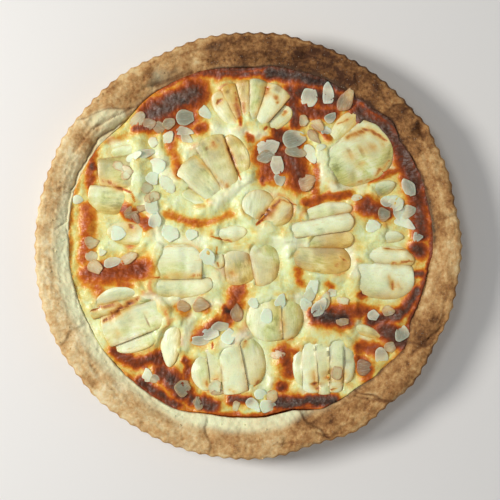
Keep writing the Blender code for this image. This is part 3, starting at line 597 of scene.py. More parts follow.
pears = {
    "north": (
        (-5.5, 77, -22.5, 100.5, 4, 9, 9, 1, 24.6, -10, 0.3, 0.5),
        (-3, 78, -13.5, 106, 4, 9, 9, 1, 25.8, 12, 0.75, 0.2),
        (-1, 79.5, -4, 109, 4, 9, 9, 0, 25.2, -14, 0.5, 0.1),
        (1.5, 79.5, 6.5, 109.5, 4, 10, 10, 0, 26.2, 10, 0.1, 0.1),
        (5, 77.5, 20, 105, 5, 12, 13, -1, 26.0, -8, 0.1, 0.6),
        (10.5, 76, 28, 90, 4, 8, 8, -1, 25.0, -12, 0.2, 0.3),
    ),
    "upper_left": (
        (-25.5, 26, -43.5, 35.5, 3, 6, 6, 0, 23.8, 0, 0.0, 0.1),
        (-17.5, 31, -42.5, 55, 8, 15, 14, -1, 24.8, 10, 0.15, 0.3),
        (-11.5, 36, -27, 71.5, 10, 18, 14, -1, 26.2, 8, 0.25, 0.2),
        (-3, 43.5, -13, 73, 6, 11, 7, -2, 25.2, -12, 0.4, 0.1),
    ),
    "north_east": (
        (50, 48.5, 94, 66, 22, 30, 25, 1, 25.8, 4, 0.05, 0.2),
        (53, 65.5, 71, 88.5, 5, 9, 7, 1, 24.8, -8, 0.45, 0.1),
    ),
    "east": (
        (76, -8, 109, -8.5, 8, 11, 9, 2, 25.0, -8, 0.15, 0.8),
        (67.5, -21, 108.5, -24.5, 20, 23, 20, 0, 26.0, 5, 0.05, 0.7),
    ),
    "centre_right": (
        (34, 18.5, 68, 25.5, 6, 9, 7, 1, 24.6, -10, 0.15, 0.4),
        (25, 9, 69, 17, 7, 12, 10, 1, 25.8, -10, 0.0, 0.9),
        (36, 2, 69, 5.5, 5, 9, 8, 0, 24.4, 14, 0.6, 0.1),
        (26, -6, 67, -12, 9, 15, 12, 0, 25.4, -12, 0.7, 0.1),
    ),
    "centre_top": (
        (5, 14, 7.5, 37, 6, 16, 14, 1, 25.2, 10, 0.2, 0.6),
        (7.5, 14.5, 27.5, 28.5, 5, 14, 13, -1, 25.4, -8, 0.4, 0.3),
    ),
    "centre_upper": ((-24, 5.5, -1, 9.8, 5, 9, 7, 0, 24.6, -6, 0.1, 0.8),),
    "centre": (
        (-22.5, -0.5, -19, -15, 8, 9, 5, 0, 24.4, -10, 0.2, 0.7),
        (-10, 2, -5, -25.5, 12, 17, 14, 0, 24.8, 6, 0.5, 0.2),
        (5.5, 3.5, 13, -26, 11, 17, 14, 3, 25.2, -8, 0.45, 0.4),
    ),
    "west_block": (
        (-62, -11, -30.5, -9.5, 18, 20, 18, 0, 25.6, 4, 0.05, 0.5),
        (-65, -27, -23.5, -26.5, 9, 11, 8, -1, 24.6, -8, 0.15, 0.6),
    ),
    "north_west": (
        (-71, 64, -90, 61, 6, 8, 6, 1, 24.4, -8, 0.0, 0.2),
        (-72.5, 51.5, -99, 50, 18, 22, 16, 0, 25.6, 5, 0.1, -0.3),
        (-76, 30.5, -105.5, 32, 10, 16, 13, 1, 25.0, -6, 0.1, 0.2),
    ),
    "west": ((-65, 7, -93, 9.5, 10, 13, 10, 0, 23.8, 0, 0.15, 0.2),),
    "south_west": (
        (-69, -31, -101.5, -38.5, 3, 8, 6, -3, 24.6, -14, 0.15, 0.5),
        (-64, -35, -103.5, -45, 3, 7, 6, -2, 25.4, -10, 0.3, 0.3),
        (-54.5, -42.5, -95, -57.5, 17, 21, 14, 0, 25.8, 6, 0.1, 0.3),
        (-58, -57, -86.5, -68.5, 8, 9, 6, 1, 24.6, 10, 0.1, 0.3),
    ),
    "south_west_upright": ((-48, -47.5, -52, -79.5, 5, 11, 7, -1, 24.8, 12, 0.05, 0.4),),
    "south": (
        (-31.5, -70, -28.5, -95, 7, 10, 7, -2, 24.4, 10, 0.1, 0.5),
        (-23.5, -66.5, -20.5, -90, 7, 9, 7, -1, 25.0, 12, 0.2, 0.5),
        (-13.5, -62.5, -8, -97, 9, 15, 13, 0, 26.4, 6, 0.05, 0.7),
        (-2.5, -57.5, 5, -91, 8, 13, 10, 2, 25.2, -12, 0.25, 0.3),
    ),
    "south_pair": (
        (11.5, -31, 13, -62.5, 12, 21, 16, -1, 25.6, 5, 0.0, 0.0),
        (25.5, -32, 27, -61, 8, 13, 10, 2, 25.0, -10, 0.05, 0.2),
    ),
    "south_east": (
        (35.5, -65, 31.5, -94, 5, 8, 7, -2, 24.9, 9, 0.0, 0.5),
        (40, -58.5, 42.5, -96.5, 10, 13, 10, -2, 25.6, 6, 0.0, 0.8),
        (48, -57.5, 50.5, -97.5, 9, 11, 8, -1, 26.0, 2, 0.1, 0.6),
        (57, -57, 57, -96, 9, 13, 10, 1, 25.9, -4, 0.05, 0.8),
        (66, -62, 63.5, -90, 8, 11, 9, 2, 25.3, -8, 0.1, 0.4),
    ),
    "south_east_sliver": ((67, -53.5, 86.5, -59.5, 4, 6, 4, 1, 24.4, -10, 0.5, 0.0),),
    "east_sliver": ((79.5, 36.5, 96.5, 41, 4, 8, 6, -1, 23.8, 0, 0.05, 0.0),),
    "east_chip": ((85, 4.4, 102, 6, 5, 7, 5, 1, 23.8, 0, 0.1, 0.1),),
}
sliceForm = {
    "fullness": 1.27, "endRoundness": 2.6, "dome": 1.9, "domeByHalf": 0.10, "domeRoundness": 3.1,
    "foot": 10.0, "endDrop": 0.9, "stations": 60, "around": 40, "footRows": 3,
    # Knife cuts: the gap, then how far each side falls and over what length.
    "knifeGap": -0.5, "farFall": (0.2, 0.4), "nearFall": (0.8, 1.0),
    # How much wider a slice would be on a side that was cut from its neighbour.
    "cutSide": {
        "north": 1.8, "upper_left": 1.8, "north_east": 1.4, "east": 1.5, "centre_right": 1.5, "centre": 1.6,
        "centre_top": 1.2, "west_block": 2.6, "north_west": 2.0, "south_west": 2.4, "south": 2.4,
        "south_pair": 2.6, "south_east": 3.2,
    },
    # How far the knife cuts stay closed at the stalk end, where a pear kept its shape.
    "closed": {"south_east": 0.85, "south": 0.5, "south_west": 0.3, "east": 0.4, "south_pair": 0.4},
    # The outline that slices keep together: the first of them, its centre and half its widths.
    "oval": {
        "south_east": (0, 49.5, -77.5, 20.5, 20.5), "east": (0, 90.0, -17.0, 21.5, 18.5),
        "north_west": (1, -88.5, 43.0, 19.5, 23.0), "centre": (1, 1.0, -11.5, 19.5, 17.0),
    },
    "ovalRoundness": 2.4, "ovalFall": (0.9, 0.9),
}

# Core marks and browned openings: x, y, radius, depth, and how brown.
pearMarks = (
    (65.5, 63, 1.6, 0.8, 0.75), (74, 62.5, 1.2, 0.7, 0.8), (82, 64, 2.4, 0.5, 0.55),
    (73, 54.5, 1.6, 0.6, 0.6), (88, 65, 1.2, 0.3, 0.4), (95.5, -25, 3.6, 1.2, 0.45),
    (92.5, -24, 1.6, 0.9, 0.6), (100.5, -28, 1.4, 0.5, 0.35), (-65.5, -51, 0.9, 0.8, 0.9),
    (-86, -59, 3.4, 0.5, 0.25), (-78, -47, 2.0, 0.3, 0.15), (-27, 64, 1.6, 0.8, 0.8),
    (-17, 41, 2.4, 0.3, 0.4), (-79, 52, 3.6, 0.4, 0.3), (-66, 41, 1.5, 0.4, 0.3), (51, -85, 4.0, 1.4, 0.6),
    (59, -87, 3.2, 1.0, 0.55), (46.5, -91, 2.0, 0.9, 0.7), (66, -76, 1.6, 0.5, 0.5),
    (63, -11.5, 2.6, 0.8, 0.5), (-12, -18.5, 3.0, 0.3, 0.3), (7, -3, 2.2, 0.3, 0.3),
    (-13.5, 101, 1.4, 0.6, 0.7), (19, 103, 3.0, 0.4, 0.5), (13, -26, 2.6, 0.3, 0.3),
    (26, 19, 3.0, 0.3, 0.35), (-4.5, 58, 2.4, 0.3, 0.35), (-21, 34, 2.2, 0.2, 0.4),
)

# Browned lines and patches on the slices: two ends, radius and strength.
pearBrowned = (
    (5.6, 14.1, 20.5, 29.9, 1.5, 0.95), (20.5, 30.6, 31.7, 26.9, 0.8, 0.6), (17, -22, 19, -20, 3.5, 0.35),
    (-12, -18, -9, -19, 3.5, 0.42), (-20, -1, -21.5, -7, 0.8, 0.6), (58, -12.5, 64, -13.5, 5.0, 0.45),
    (59.6, -6.4, 65.2, -11, 0.6, 0.75), (52, 4.5, 60, 5.5, 3.6, 0.30), (-24.1, 5.8, -11.1, 3, 0.7, 0.75),
    (22.4, -42.6, 23.3, -58.4, 0.9, 0.55), (-1.8, -62.1, -3.2, -65.8, 1.2, 0.65),
    (41.4, -80.7, 42.1, -88.2, 0.9, 0.95), (42.1, -88.2, 45.6, -93.8, 0.9, 1.0),
    (48.4, -83.5, 54, -88.2, 1.4, 0.65), (60.5, -80.7, 61.4, -88.2, 1.3, 0.85),
    (52, -83, 57, -83.5, 4.2, 0.42), (59, -91, 55, -95, 0.6, 0.8), (70.8, -71.4, 72.2, -76, 0.8, 0.8),
    (-94.8, -49.1, -72.5, -34.2, 1.2, 0.95), (-104.1, -42.6, -85.5, -37, 0.7, 0.9),
    (-67.7, -44, -67, -44.6, 1.1, 0.45), (-86, -57, -83, -58, 3.8, 0.30),
    (-21.4, -86.3, -21.6, -88, 2.0, 0.72), (-23.7, -63, -23.6, -67, 1.1, 0.75),
    (-27, -91.9, -28, -88, 1.4, 0.6), (-95.8, 43, -76.2, 34.6, 1.0, 0.8), (-82, 50, -79, 51, 3.8, 0.34),
    (-8.8, 100.6, -5.1, 79.2, 2.0, 0.78), (-3.7, 97.9, -2.7, 87.6, 1.3, 0.6),
    (-20.9, 93.2, -17.6, 95.9, 1.3, 0.75), (-13.9, 87.6, -8.3, 81.2, 1.4, 0.45),
    (18.6, 98.8, 19.1, 93.2, 0.8, 0.6), (13, 103.4, 11, 100, 2.0, 0.75), (9.3, 96, 3.8, 86.7, 0.8, 0.6),
    (22, 86, 25, 88, 1.1, 0.6), (10.3, 76.5, 12, 78, 1.4, 0.8), (-23.2, 67.1, -22.4, 64, 1.3, 0.85),
    (-15.8, 69.9, -5.1, 43.8, 0.8, 0.85), (-13, 37.3, -14, 40, 2.8, 0.42), (-36, 60, -14, 38, 0.6, 0.45),
    (64.2, 70.9, 78.2, 76.5, 1.3, 0.75), (78.2, 76.5, 90.2, 69, 1.3, 0.7), (92.9, 56, 81, 43.9, 1.0, 0.6),
    (81, 43.9, 65.1, 40.1, 1.0, 0.5), (58.6, 80.2, 67, 83.9, 1.1, 0.65),
    (94.4, -24.5, 94.6, -28, 0.8, 0.85), (92, -21, 92.5, -20, 2.6, 0.4), (97.5, -26, 99, -26.5, 2.6, 0.45),
    (94, -11.9, 107.9, -10, 0.9, 0.65), (89.3, -1.6, 103.3, -2.6, 0.7, 0.55),
    (-64.1, -20.6, -31, -19.0, 0.9, 0.7), (-56.7, -0.7, -38, 0.2, 0.6, 0.4),
    (-19.5, -13.7, -20.5, -11, 0.8, 0.65), (-78, 14.1, -76, 12, 2.8, 0.8), (-76, 34, -74.5, 29, 1.0, 0.7),
    (106, -3, 108, -8, 1.0, 0.6), (69, 24, 70, 26, 1.0, 0.55), (27, -8, 33, -4, 2.2, 0.3),
    (66, 61, 69, 57, 2.6, 0.5), (73, 64, 83, 66, 3.4, 0.4), (84, 62, 88, 66, 2.2, 0.45),
    (71, 52, 76, 54, 2.4, 0.36), (24, -32, 25.5, -36, 0.9, 0.5), (29, -60, 24, -63, 1.0, 0.5),
    (4, -92, 8, -88, 1.4, 0.6), (-8, -96, -13, -94, 1.4, 0.55),
)


class Slice:
    def __init__(self, name, row):
        self.name = name
        self.start, self.end = np.array(row[:2], float), np.array(row[2:4], float)
        self.stalk, self.middle, self.roundEnd, self.bow = row[4:8]
        self.top, self.roll, self.tan, self.pale = row[8:]
        self.length = np.linalg.norm(self.end - self.start)
        self.along = (self.end - self.start) / self.length
        self.left = np.array([-self.along[1], self.along[0]])
        self.planes = []
        self.oval, self.closed = None, 0.0
        self.leftShare, self.rightShare = 1.0, 1.0

    def centre(self, share):
        share = np.asarray(share, float)[..., None]
        bend = self.left * self.bow * 4.0 * share * (1.0 - share)
        return self.start + (self.end - self.start) * share + bend

    def half(self, share):
        power = sliceForm["endRoundness"]
        ends = (1.0 - np.abs(2.0 * share - 1.0) ** power) ** (1.0 / power)
        low = (1.0 - share) * (1.0 - 2.0 * share) * self.stalk
        high = share * (2.0 * share - 1.0) * self.roundEnd
        width = low + high + 4.0 * share * (1.0 - share) * self.middle
        return 0.5 * sliceForm["fullness"] * ends * width

    def drawnIn(self, plan):
        # Brings what lies past the pear's oval on to it, and gives how far the rest is inside.
        if self.oval is None:
            return plan, np.full(len(plan), 99.0)
        middle, reach = np.array(self.oval[:2]), np.array(self.oval[2:])
        power = sliceForm["ovalRoundness"]
        past = (np.abs((plan - middle) / reach) ** power).sum(axis=1) ** (1.0 / power)
        inside = (1.0 - past).clip(0.0) * reach.min()
        return middle + (plan - middle) / np.maximum(past, 1.0)[:, None], inside

    def outline(self):
        # The cut side goes a little past the knife cut, so that the custard leaves no hole there.
        share = 0.5 - 0.5 * np.cos(np.linspace(0.02, 0.98, 26) * math.pi)
        side = self.left * self.half(share)[:, None]
        left = self.centre(share) + side * self.leftShare
        right = self.centre(share) - side * self.rightShare
        points = self.drawnIn(np.concatenate([left, right[::-1]]))[0]
        for origin, normal, _ in self.planes:
            points -= np.clip((points - origin) @ normal - 1.0, 0.0, None)[:, None] * normal
        return points

    def cutBack(self, plan, opened):
        # Flattens what lies past a knife cut on to it. Gives how far the rest is from a cut, and its fall.
        plan, inside = self.drawnIn(plan)
        drop, reach = sliceForm["ovalFall"]
        away, fall = np.full(len(plan), 99.0), drop * np.exp(-inside / reach)
        for origin, normal, (drop, reach) in self.planes:
            past = (plan - origin) @ normal
            plan = plan - np.clip(past, 0.0, None)[:, None] * normal
            inside = np.clip(-past, 0.0, None)
            away = np.minimum(away, inside)
            fall += opened * drop * np.exp(-inside / reach)
        return plan, away, fall


def allSlices():
    made = []
    for pear, rows in pears.items():
        slices = [Slice(f"{pear}_{i}", row) for i, row in enumerate(rows, 1)]
        for piece in slices:
            piece.closed = sliceForm["closed"].get(pear, 0.0)
        if pear in sliceForm["oval"]:
            firstSlice, *oval = sliceForm["oval"][pear]
            for piece in slices[firstSlice:]:
                piece.oval = oval
        for first, second in zip(slices, slices[1:]):
            ends = []
            for share in (0.2, 0.8):
                a, b = first.half(share), second.half(share)
                ends.append((first.centre(share) * b + second.centre(share) * a) / (a + b))
            along = (ends[1] - ends[0]) / np.linalg.norm(ends[1] - ends[0])
            normal = np.array([-along[1], along[0]])
            if normal @ (second.centre(0.5) - first.centre(0.5)) < 0.0:
                normal = -normal
            # Each slice of a fan lies a little over the next: its near side is low, its far side high.
            gap = normal * sliceForm["knifeGap"] / 2
            first.planes.append((ends[0] - gap, normal, sliceForm["farFall"]))
            second.planes.append((ends[0] + gap, -normal, sliceForm["nearFall"]))
            for piece, toward in ((first, normal), (second, -normal)):
                if toward @ piece.left > 0.0:
                    piece.leftShare = sliceForm["cutSide"][pear]
                else:
                    piece.rightShare = sliceForm["cutSide"][pear]
        made += slices
    return made


def crossSection():
    # From foot to foot over the dome: across, 1 to -1, and rise, -1 at the foot and 1 on the crest.
    turn = np.linspace(0.0, math.pi, sliceForm["around"])
    power = 2.0 / sliceForm["domeRoundness"]
    across = np.sign(np.cos(turn)) * np.abs(np.cos(turn)) ** power
    rise = np.sin(turn).clip(0.0) ** power
    foot = np.linspace(0.0, 1.0, sliceForm["footRows"] + 1)[:-1]
    across = np.concatenate([0.82 + 0.18 * foot, across, -(0.82 + 0.18 * foot)[::-1]])
    return across, np.concatenate([foot - 1.0, rise, (foot - 1.0)[::-1]])


def makeSlice(piece, finish, seed):
    form = sliceForm
    share = 0.5 - 0.5 * np.cos(np.linspace(0.012, 0.988, form["stations"]) * math.pi)
    across, rise = crossSection()
    half = piece.half(share)[:, None]
    crest = piece.top - form["endDrop"] * (1.0 - (1.0 - np.abs(2.0 * share - 1.0) ** 5.0) ** (1 / 5.0))
    crest = crest[:, None] + 0.0 * across
    ragged = layered(flat(share * piece.length, 0.0 * share + 40.0 * seed), 7.0, 3, seed)
    other = layered(flat(share * piece.length, 0.0 * share + 40.0 * seed + 20.0), 7.0, 3, seed)
    wobble = 0.97 + np.where(across >= 0.0, 0.07 * ragged[:, None], 0.07 * other[:, None]).clip(-0.08, 0.03)
    spread = across * np.where(across >= 0.0, piece.leftShare, piece.rightShare)
    plan = piece.centre(share)[:, None, :] + piece.left * (half * wobble * spread)[..., None]
    opened = 1.0 - piece.closed * (1.0 - smooth(share, 0.3, 0.85))[:, None] + 0.0 * across
    plan, away, fall = piece.cutBack(plan.reshape(-1, 2), opened.ravel())
    away, fall = away.reshape(len(share), -1), fall.reshape(len(share), -1)
    dome = form["dome"] + form["domeByHalf"] * half
    shoulder = crest - dome
    slope = math.tan(math.radians(piece.roll))
    stem = shoulder - form["foot"]
    height = np.where(rise >= 0.0, shoulder + dome * rise, form["foot"] + stem * (1.0 + rise))
    height += np.clip(rise + 1.0, 0.0, 1.0) * across * half * slope
    onTop = smooth(rise, 0.0, 0.5)
    place = flat(plan[:, 0], plan[:, 1])
    swell = rough(place, 9.0, 2, 41 + seed, height)
    along = np.broadcast_to((share * piece.length)[:, None], height.shape)
    grain = flat(along * 0.10, across * half * 0.55, float(seed))
    streaks = rough(grain * 1.4, 1.0, 2, 51, height)
    dish = (1.0 - across**2) * (1.0 - np.abs(2.0 * share - 1.0)[:, None] ** 3)
    height += onTop * (0.9 * swell + 0.2 * streaks - 0.3 * dish)
    height -= onTop * fall
    x, y = place[:, 0].reshape(height.shape), place[:, 1].reshape(height.shape)
    mark = np.zeros(height.shape)
    for mx, my, radius, depth, brown in pearMarks:
        reach = np.hypot(x - mx, (y - my) * 1.15) * (1.0 + 0.35 * swell)
        within = np.exp(-((reach / radius) ** 2))
        height -= onTop * depth * within
        mark = np.maximum(mark, brown * smooth(within, 0.15, 0.75))
    jitter = rough(place, 3.2, 3, 107, height)
    bentX, bentY = x + 1.1 * jitter + 0.6 * swell, y - 1.1 * jitter + 0.6 * streaks
    browned = thinLines(bentX, bentY, pearBrowned) * (0.85 + 0.45 * jitter).clip(0.3, 1.1)
    height -= onTop * 0.8 * smooth(browned, 0.45, 0.95)
    browned = np.maximum(browned, 0.5 * thinLines(bentX, bentY, pearBrowned, 3.2))
    # Ends and free edges brown a little. Along the knife cuts the colour is darkest, part browning and part
    # painted shade in the gap between slices.
    ends = np.abs(2.0 * share - 1.0)[:, None]
    edge = np.clip(np.abs(across) ** 7 + 0.8 * ends**10, 0.0, 1.0)
    low = rough(place, 14.0, 2, 90 + seed, height)
    clear = smooth(low + 0.5 * ends - 0.25 * across, 0.15, 0.75)
    # Painted light: each slice is paler on the side toward the light, a painted highlight, and tanner on the
    # side away from it, a painted shade.
    west = across * math.copysign(1.0, -piece.left[0] + 0.4 * piece.left[1])
    byCut = 0.25 * np.exp(-away / 2.5) * smooth(low, -0.2, 0.4)
    tan = piece.tan * (0.2 + 1.25 * share[:, None] ** 1.6) + byCut
    tan += 0.6 * smooth(-west, 0.0, 1.0) * smooth(low, -0.7, 0.4)
    pale = piece.pale + 0.7 * smooth(west, -0.2, 0.8) - 0.45 * smooth(-west, 0.0, 1.0) + 0.35 * low
    values = {
        "edge": edge, "mark": mark, "cut": np.exp(-away / 0.8) * 0.9 * opened, "tan": tan, "pale": pale,
        "clear": clear, "browned": browned,
    }
    values = {"grain": grain, **{key: value.ravel() for key, value in values.items()}}
    columns = height.shape[1]
    faces = gridFaces(len(share), columns).tolist()
    last = (len(share) - 1) * columns
    faces += [list(range(columns))[::-1], list(range(last, last + columns))]
    points = flat(x, y, height)
    name = f"pear_slice_{piece.name}"
    return meshPiece(name, points, faces, finish, values, (f"pear_{piece.name}",))


# The custard

custard = {
    "level": 22.6, "atRim": 23.2, "highest": 26.8, "grid": 296, "gap": 0.06,
    "bankWidth": 5.5, "bankReach": 14.0, "blend": 1.4, "wallLevels": (20.4, 19.4, 4.3),
    # Low hills: x, y, reach along, reach across, turn, height.
    "hills": (
        (-50, 92, 24, 10, 35, 2.6), (0, 113, 26, 4, 0, 1.4), (36, 108, 22, 6, -20, 2.2),
        (28, 56, 14, 13, 0, 2.4), (80, 82, 11, 9, -30, 2.4), (106, 62, 24, 7, 110, 2.0),
        (84, 26, 15, 8, 0, 2.2), (60, 31, 24, 4, 0, 1.6), (109, 6, 12, 5, 80, 1.6),
        (-104, 48, 16, 5, 60, 1.8), (-106, 14, 20, 6, 95, 1.8), (-84, -21, 24, 8, 0, 2.4),
        (-24, 19, 24, 4, -8, 1.6), (-18, -44, 26, 5, 48, 2.0), (24, -74, 12, 7, 40, 2.2),
        (-66, -73, 18, 5, -15, 1.8), (-48, -93, 22, 7, -35, 2.2), (-8, -101, 20, 5, 0, 1.8),
        (32, -102, 22, 5, 8, 2.0), (62, -42, 18, 7, 0, 2.0), (96, -50, 20, 6, 55, 2.2),
        (82, -78, 14, 6, 40, 1.6),
    ),
    # Browned strokes: two ends, radius, and how dark.
    "browned": (
        (-64, 87, -35, 101, 9.0, 0.90), (-43, 95, -41, 95, 4.5, 1.05), (-32, 102, -30, 100, 6, 0.60),
        (-66, 82, -40, 84, 9.0, 0.66), (-52, 78, -44, 76, 7.0, 0.58), (14, 51, 28, 52, 8, 0.68),
        (-107, -20, -98, -30, 5, 0.50), (-28, 113, 14, 113, 3.5, 0.75), (14, 114, 53, 107, 5, 0.98),
        (34, 101, 60, 95, 6, 0.88), (27, 103, 31, 81, 5, 0.78), (34, 90, 56, 87, 5, 0.74),
        (72, 87, 95, 72, 7, 0.88), (99, 69, 110, 40, 8, 0.86), (110, 40, 114, 9, 7, 0.80),
        (80, 44, 99, 52, 3.6, 0.55), (76, 27, 91, 22, 6, 0.76), (111, -2, 112, -4, 6, 0.86),
        (104, -19, 114, -19, 3.5, 0.80), (74, -32, 75, -33, 3.5, 0.70), (46, -45, 62, -48, 7, 0.97),
        (63, -43, 80, -44, 6, 0.64), (111, -29, 100, -45, 4.5, 0.86), (100, -45, 80, -50, 4.5, 0.84),
        (89, -55, 104, -64, 7, 0.86), (75, -79, 77, -80, 6.5, 0.72), (74, -66, 87, -69, 5.0, 0.64),
        (72, -74, 79, -86, 5.0, 0.60), (19, -103, 56, -101, 4.5, 0.98), (22, -92, 23, -93, 4, 0.75),
        (-12, -101, 1, -101, 3, 0.80), (-37, -100, -23, -105, 5.4, 0.86), (-89, -69, -74, -77, 4, 0.72),
        (-74, -77, -57, -73, 5, 0.76), (-57, -82, -41, -97, 7, 0.82), (-52, -87, -50, -88, 5, 0.92),
        (-70, -90, -48, -105, 4.6, 0.82), (-106, 25, -107, -8, 7, 0.52), (-104, -19, -70, -15, 8.5, 0.66),
        (-84, -25, -80, -25, 5, 0.50), (-102, 61, -104, 38, 3.5, 0.60), (-102, 53, -102, 52, 3.2, 0.88),
        (-74, 77, -64, 77, 3.5, 0.70), (-93, 70, -74, 74, 4, 0.36), (28, 59, 33, 44, 8.5, 0.76),
        (20, 74, 31, 66, 6, 0.76), (9, 44, 10, 45, 4, 0.70), (10, 60, 28, 60, 9.0, 0.72),
        (8, 47, 18, 44, 5, 0.52), (12, 66, 22, 70, 5, 0.72), (44, 53, 44, 35, 3.5, 0.50),
        (-54, 21, -32, 14, 3.5, 0.46), (-32, 14, -11, 21, 3.5, 0.44), (-7, -30, -13, -47, 6.5, 0.64),
        (-14, -43, -14, -42, 4, 0.95), (-34, -61, -20, -50, 5, 0.64), (32, -17, 34, -25, 3.8, 0.50),
        (22, -68, 27, -82, 6, 0.64), (17, -68, 31, -69, 3, 0.55), (0, 71, 1, 70, 3.5, 0.60),
        (-32, 77, -30, 78, 4, 0.66), (37, 29, 66, 34, 3.5, 0.60), (-84, 25, -67, 14, 5.0, 0.62),
        (-41, -75, -40, -86, 3.5, 0.70), (-52, 70, -46, 48, 5.0, 0.46), (52, -26, 54, -28, 3.5, 0.46),
        (-43, -41, -42, -42, 6, 0.46), (-31, -39, -30, -39, 6, 0.46), (-66, 62, -62, 56, 2.5, 0.32),
        (66, 92, 72, 94, 4, 0.7), (44, 78, 52, 72, 3, 0.6),
    ),
    # Pale puffed ridges: two ends, radius, and how far they rise.
    "ridges": (
        (56, 38, 95, 51, 2.6, 1.5), (-22, 77, 8, 72, 3.0, 1.1), (-2, 42, -22, 29, 3.0, 1.1),
        (-64, 27, -58, 4, 3.5, 1.2), (-46, 4, -30, 4, 3.5, 0.9), (-66, -34, -20, -38, 2.8, 1.0),
        (48, 42, 47, 62, 2.4, 1.0), (18, 3, 62, -3, 2.4, 1.0), (66, -4, 70, -18, 2.4, 1.0),
        (-108, -50, -100, -64, 3.0, 0.9), (-38, -46, -42, -64, 3.0, 0.9), (8, -70, 14, -90, 3.0, 0.8),
        (70, -52, 80, -66, 2.8, 0.8), (34, -34, 40, -52, 2.8, 0.9), (-60, 60, -52, 44, 3.0, 1.0),
        (-98, 76, -84, 66, 2.8, 0.8), (36, -92, 40, -99, 2.4, 0.7), (-16, -64, 2, -56, 2.6, 1.0),
        (72, 40, 74, 34, 2.4, 0.6),
    ),
    # How dark the custard is against the collar, by angle.
    "atCollar": (
        (0, 0.72), (25, 0.80), (50, 0.85), (75, 0.85), (95, 0.78), (115, 0.62), (130, 0.25), (155, 0.32),
        (175, 0.40), (200, 0.22), (218, 0.15), (232, 0.55), (250, 0.42), (265, 0.55), (290, 0.62),
        (302, 0.18), (318, 0.30), (335, 0.70),
    ),
}


def hillsAt(x, y):
    height = np.zeros(x.shape)
    for cx, cy, along, across, turn, rise in custard["hills"]:
        cosine, sine = math.cos(math.radians(turn)), math.sin(math.radians(turn))
        u = ((x - cx) * cosine + (y - cy) * sine) / along
        v = (-(x - cx) * sine + (y - cy) * cosine) / across
        height += rise * np.exp(-(u * u + v * v))
    return height


def distanceTo(outline, x, y):
    # Signed distance to a closed outline, below zero inside it.
    best, crossings = np.full(x.shape, 1e9), np.zeros(x.shape, bool)
    for (ax, ay), (bx, by) in zip(outline, np.roll(outline, -1, axis=0)):
        best = np.minimum(best, alongLine(x, y, ax, ay, bx, by)[1])
        spans = (ay > y) != (by > y)
        crossings ^= spans & (x < ax + (y - ay) / (by - ay if by != ay else 1e-9) * (bx - ax))
    return np.where(crossings, -best, best)


def discGrid(count):
    # A square grid bent to a disc of radius 1, with cells of nearly even size.
    line = np.linspace(-1.0, 1.0, count + 1)
    u, v = np.meshgrid(line, line, indexing="ij")
    wide = np.abs(u) > np.abs(v)
    reach, other = np.where(wide, u, v), np.where(wide, v, u)
    ratio = other / np.where(reach == 0.0, 1.0, reach) * math.pi / 4
    turn = np.where(wide, ratio, math.pi / 2 - ratio)
    return reach * np.cos(turn), reach * np.sin(turn)


def besideSlices(x, y, slices):
    # The distance to the nearest slice, the height of those nearby, and how near a stalk end is.
    reach = custard["bankReach"]
    nearest, total = np.full(x.shape, 30.0), np.full(x.shape, 1e-6)
    beside, stalk = total * custard["level"], np.zeros(x.shape)
    for piece in slices:
        outline = piece.outline()
        low, high = outline.min(axis=0) - reach, outline.max(axis=0) + reach
        near = (x > low[0]) & (x < high[0]) & (y > low[1]) & (y < high[1])
        distance = distanceTo(outline, x[near], y[near])
        dx, dy = x[near] - piece.start[0], y[near] - piece.start[1]
        forward, aside = (dx * axis[0] + dy * axis[1] for axis in (piece.along, piece.left))
        wide = float(piece.half(0.5))
        edgeHeight = piece.top + aside.clip(-wide, wide) * math.tan(math.radians(piece.roll))
        weight = np.exp(-distance.clip(-4.0, None) / custard["blend"])
        total[near] += weight
        beside[near] += weight * edgeHeight
        stalk[near] += weight * (1.0 - smooth(forward, 1.5, 10.0))
        nearest[near] = np.minimum(nearest[near], distance)
    return nearest, beside / total, stalk / total


def closedBelow(points, faces, values, loop):
    # Adds the walls under the custard's edge, down to the floor of the case, and its base.
    edge = points[loop][:, :2]
    outward = edge / np.linalg.norm(edge, axis=1)[:, None]
    made, total, above = [points], len(points), loop
    walls = [faces]
    reaches = None, case["wallInside"] - 0.9, case["floorCorner"] - 0.4
    for radius, level in zip(reaches, custard["wallLevels"]):
        plan = edge if radius is None else outward * radius
        below = np.arange(total, total + len(loop))
        made.append(np.column_stack([plan, np.full(len(loop), level)]))
        walls.append(np.stack([above, below, np.roll(below, -1), np.roll(above, -1)], axis=-1))
        above, total = below, total + len(loop)
    values = {key: np.concatenate([value] + 3 * [value[loop]]) for key, value in values.items()}
    return np.concatenate(made), np.concatenate(walls).tolist() + [above[::-1].tolist()], values


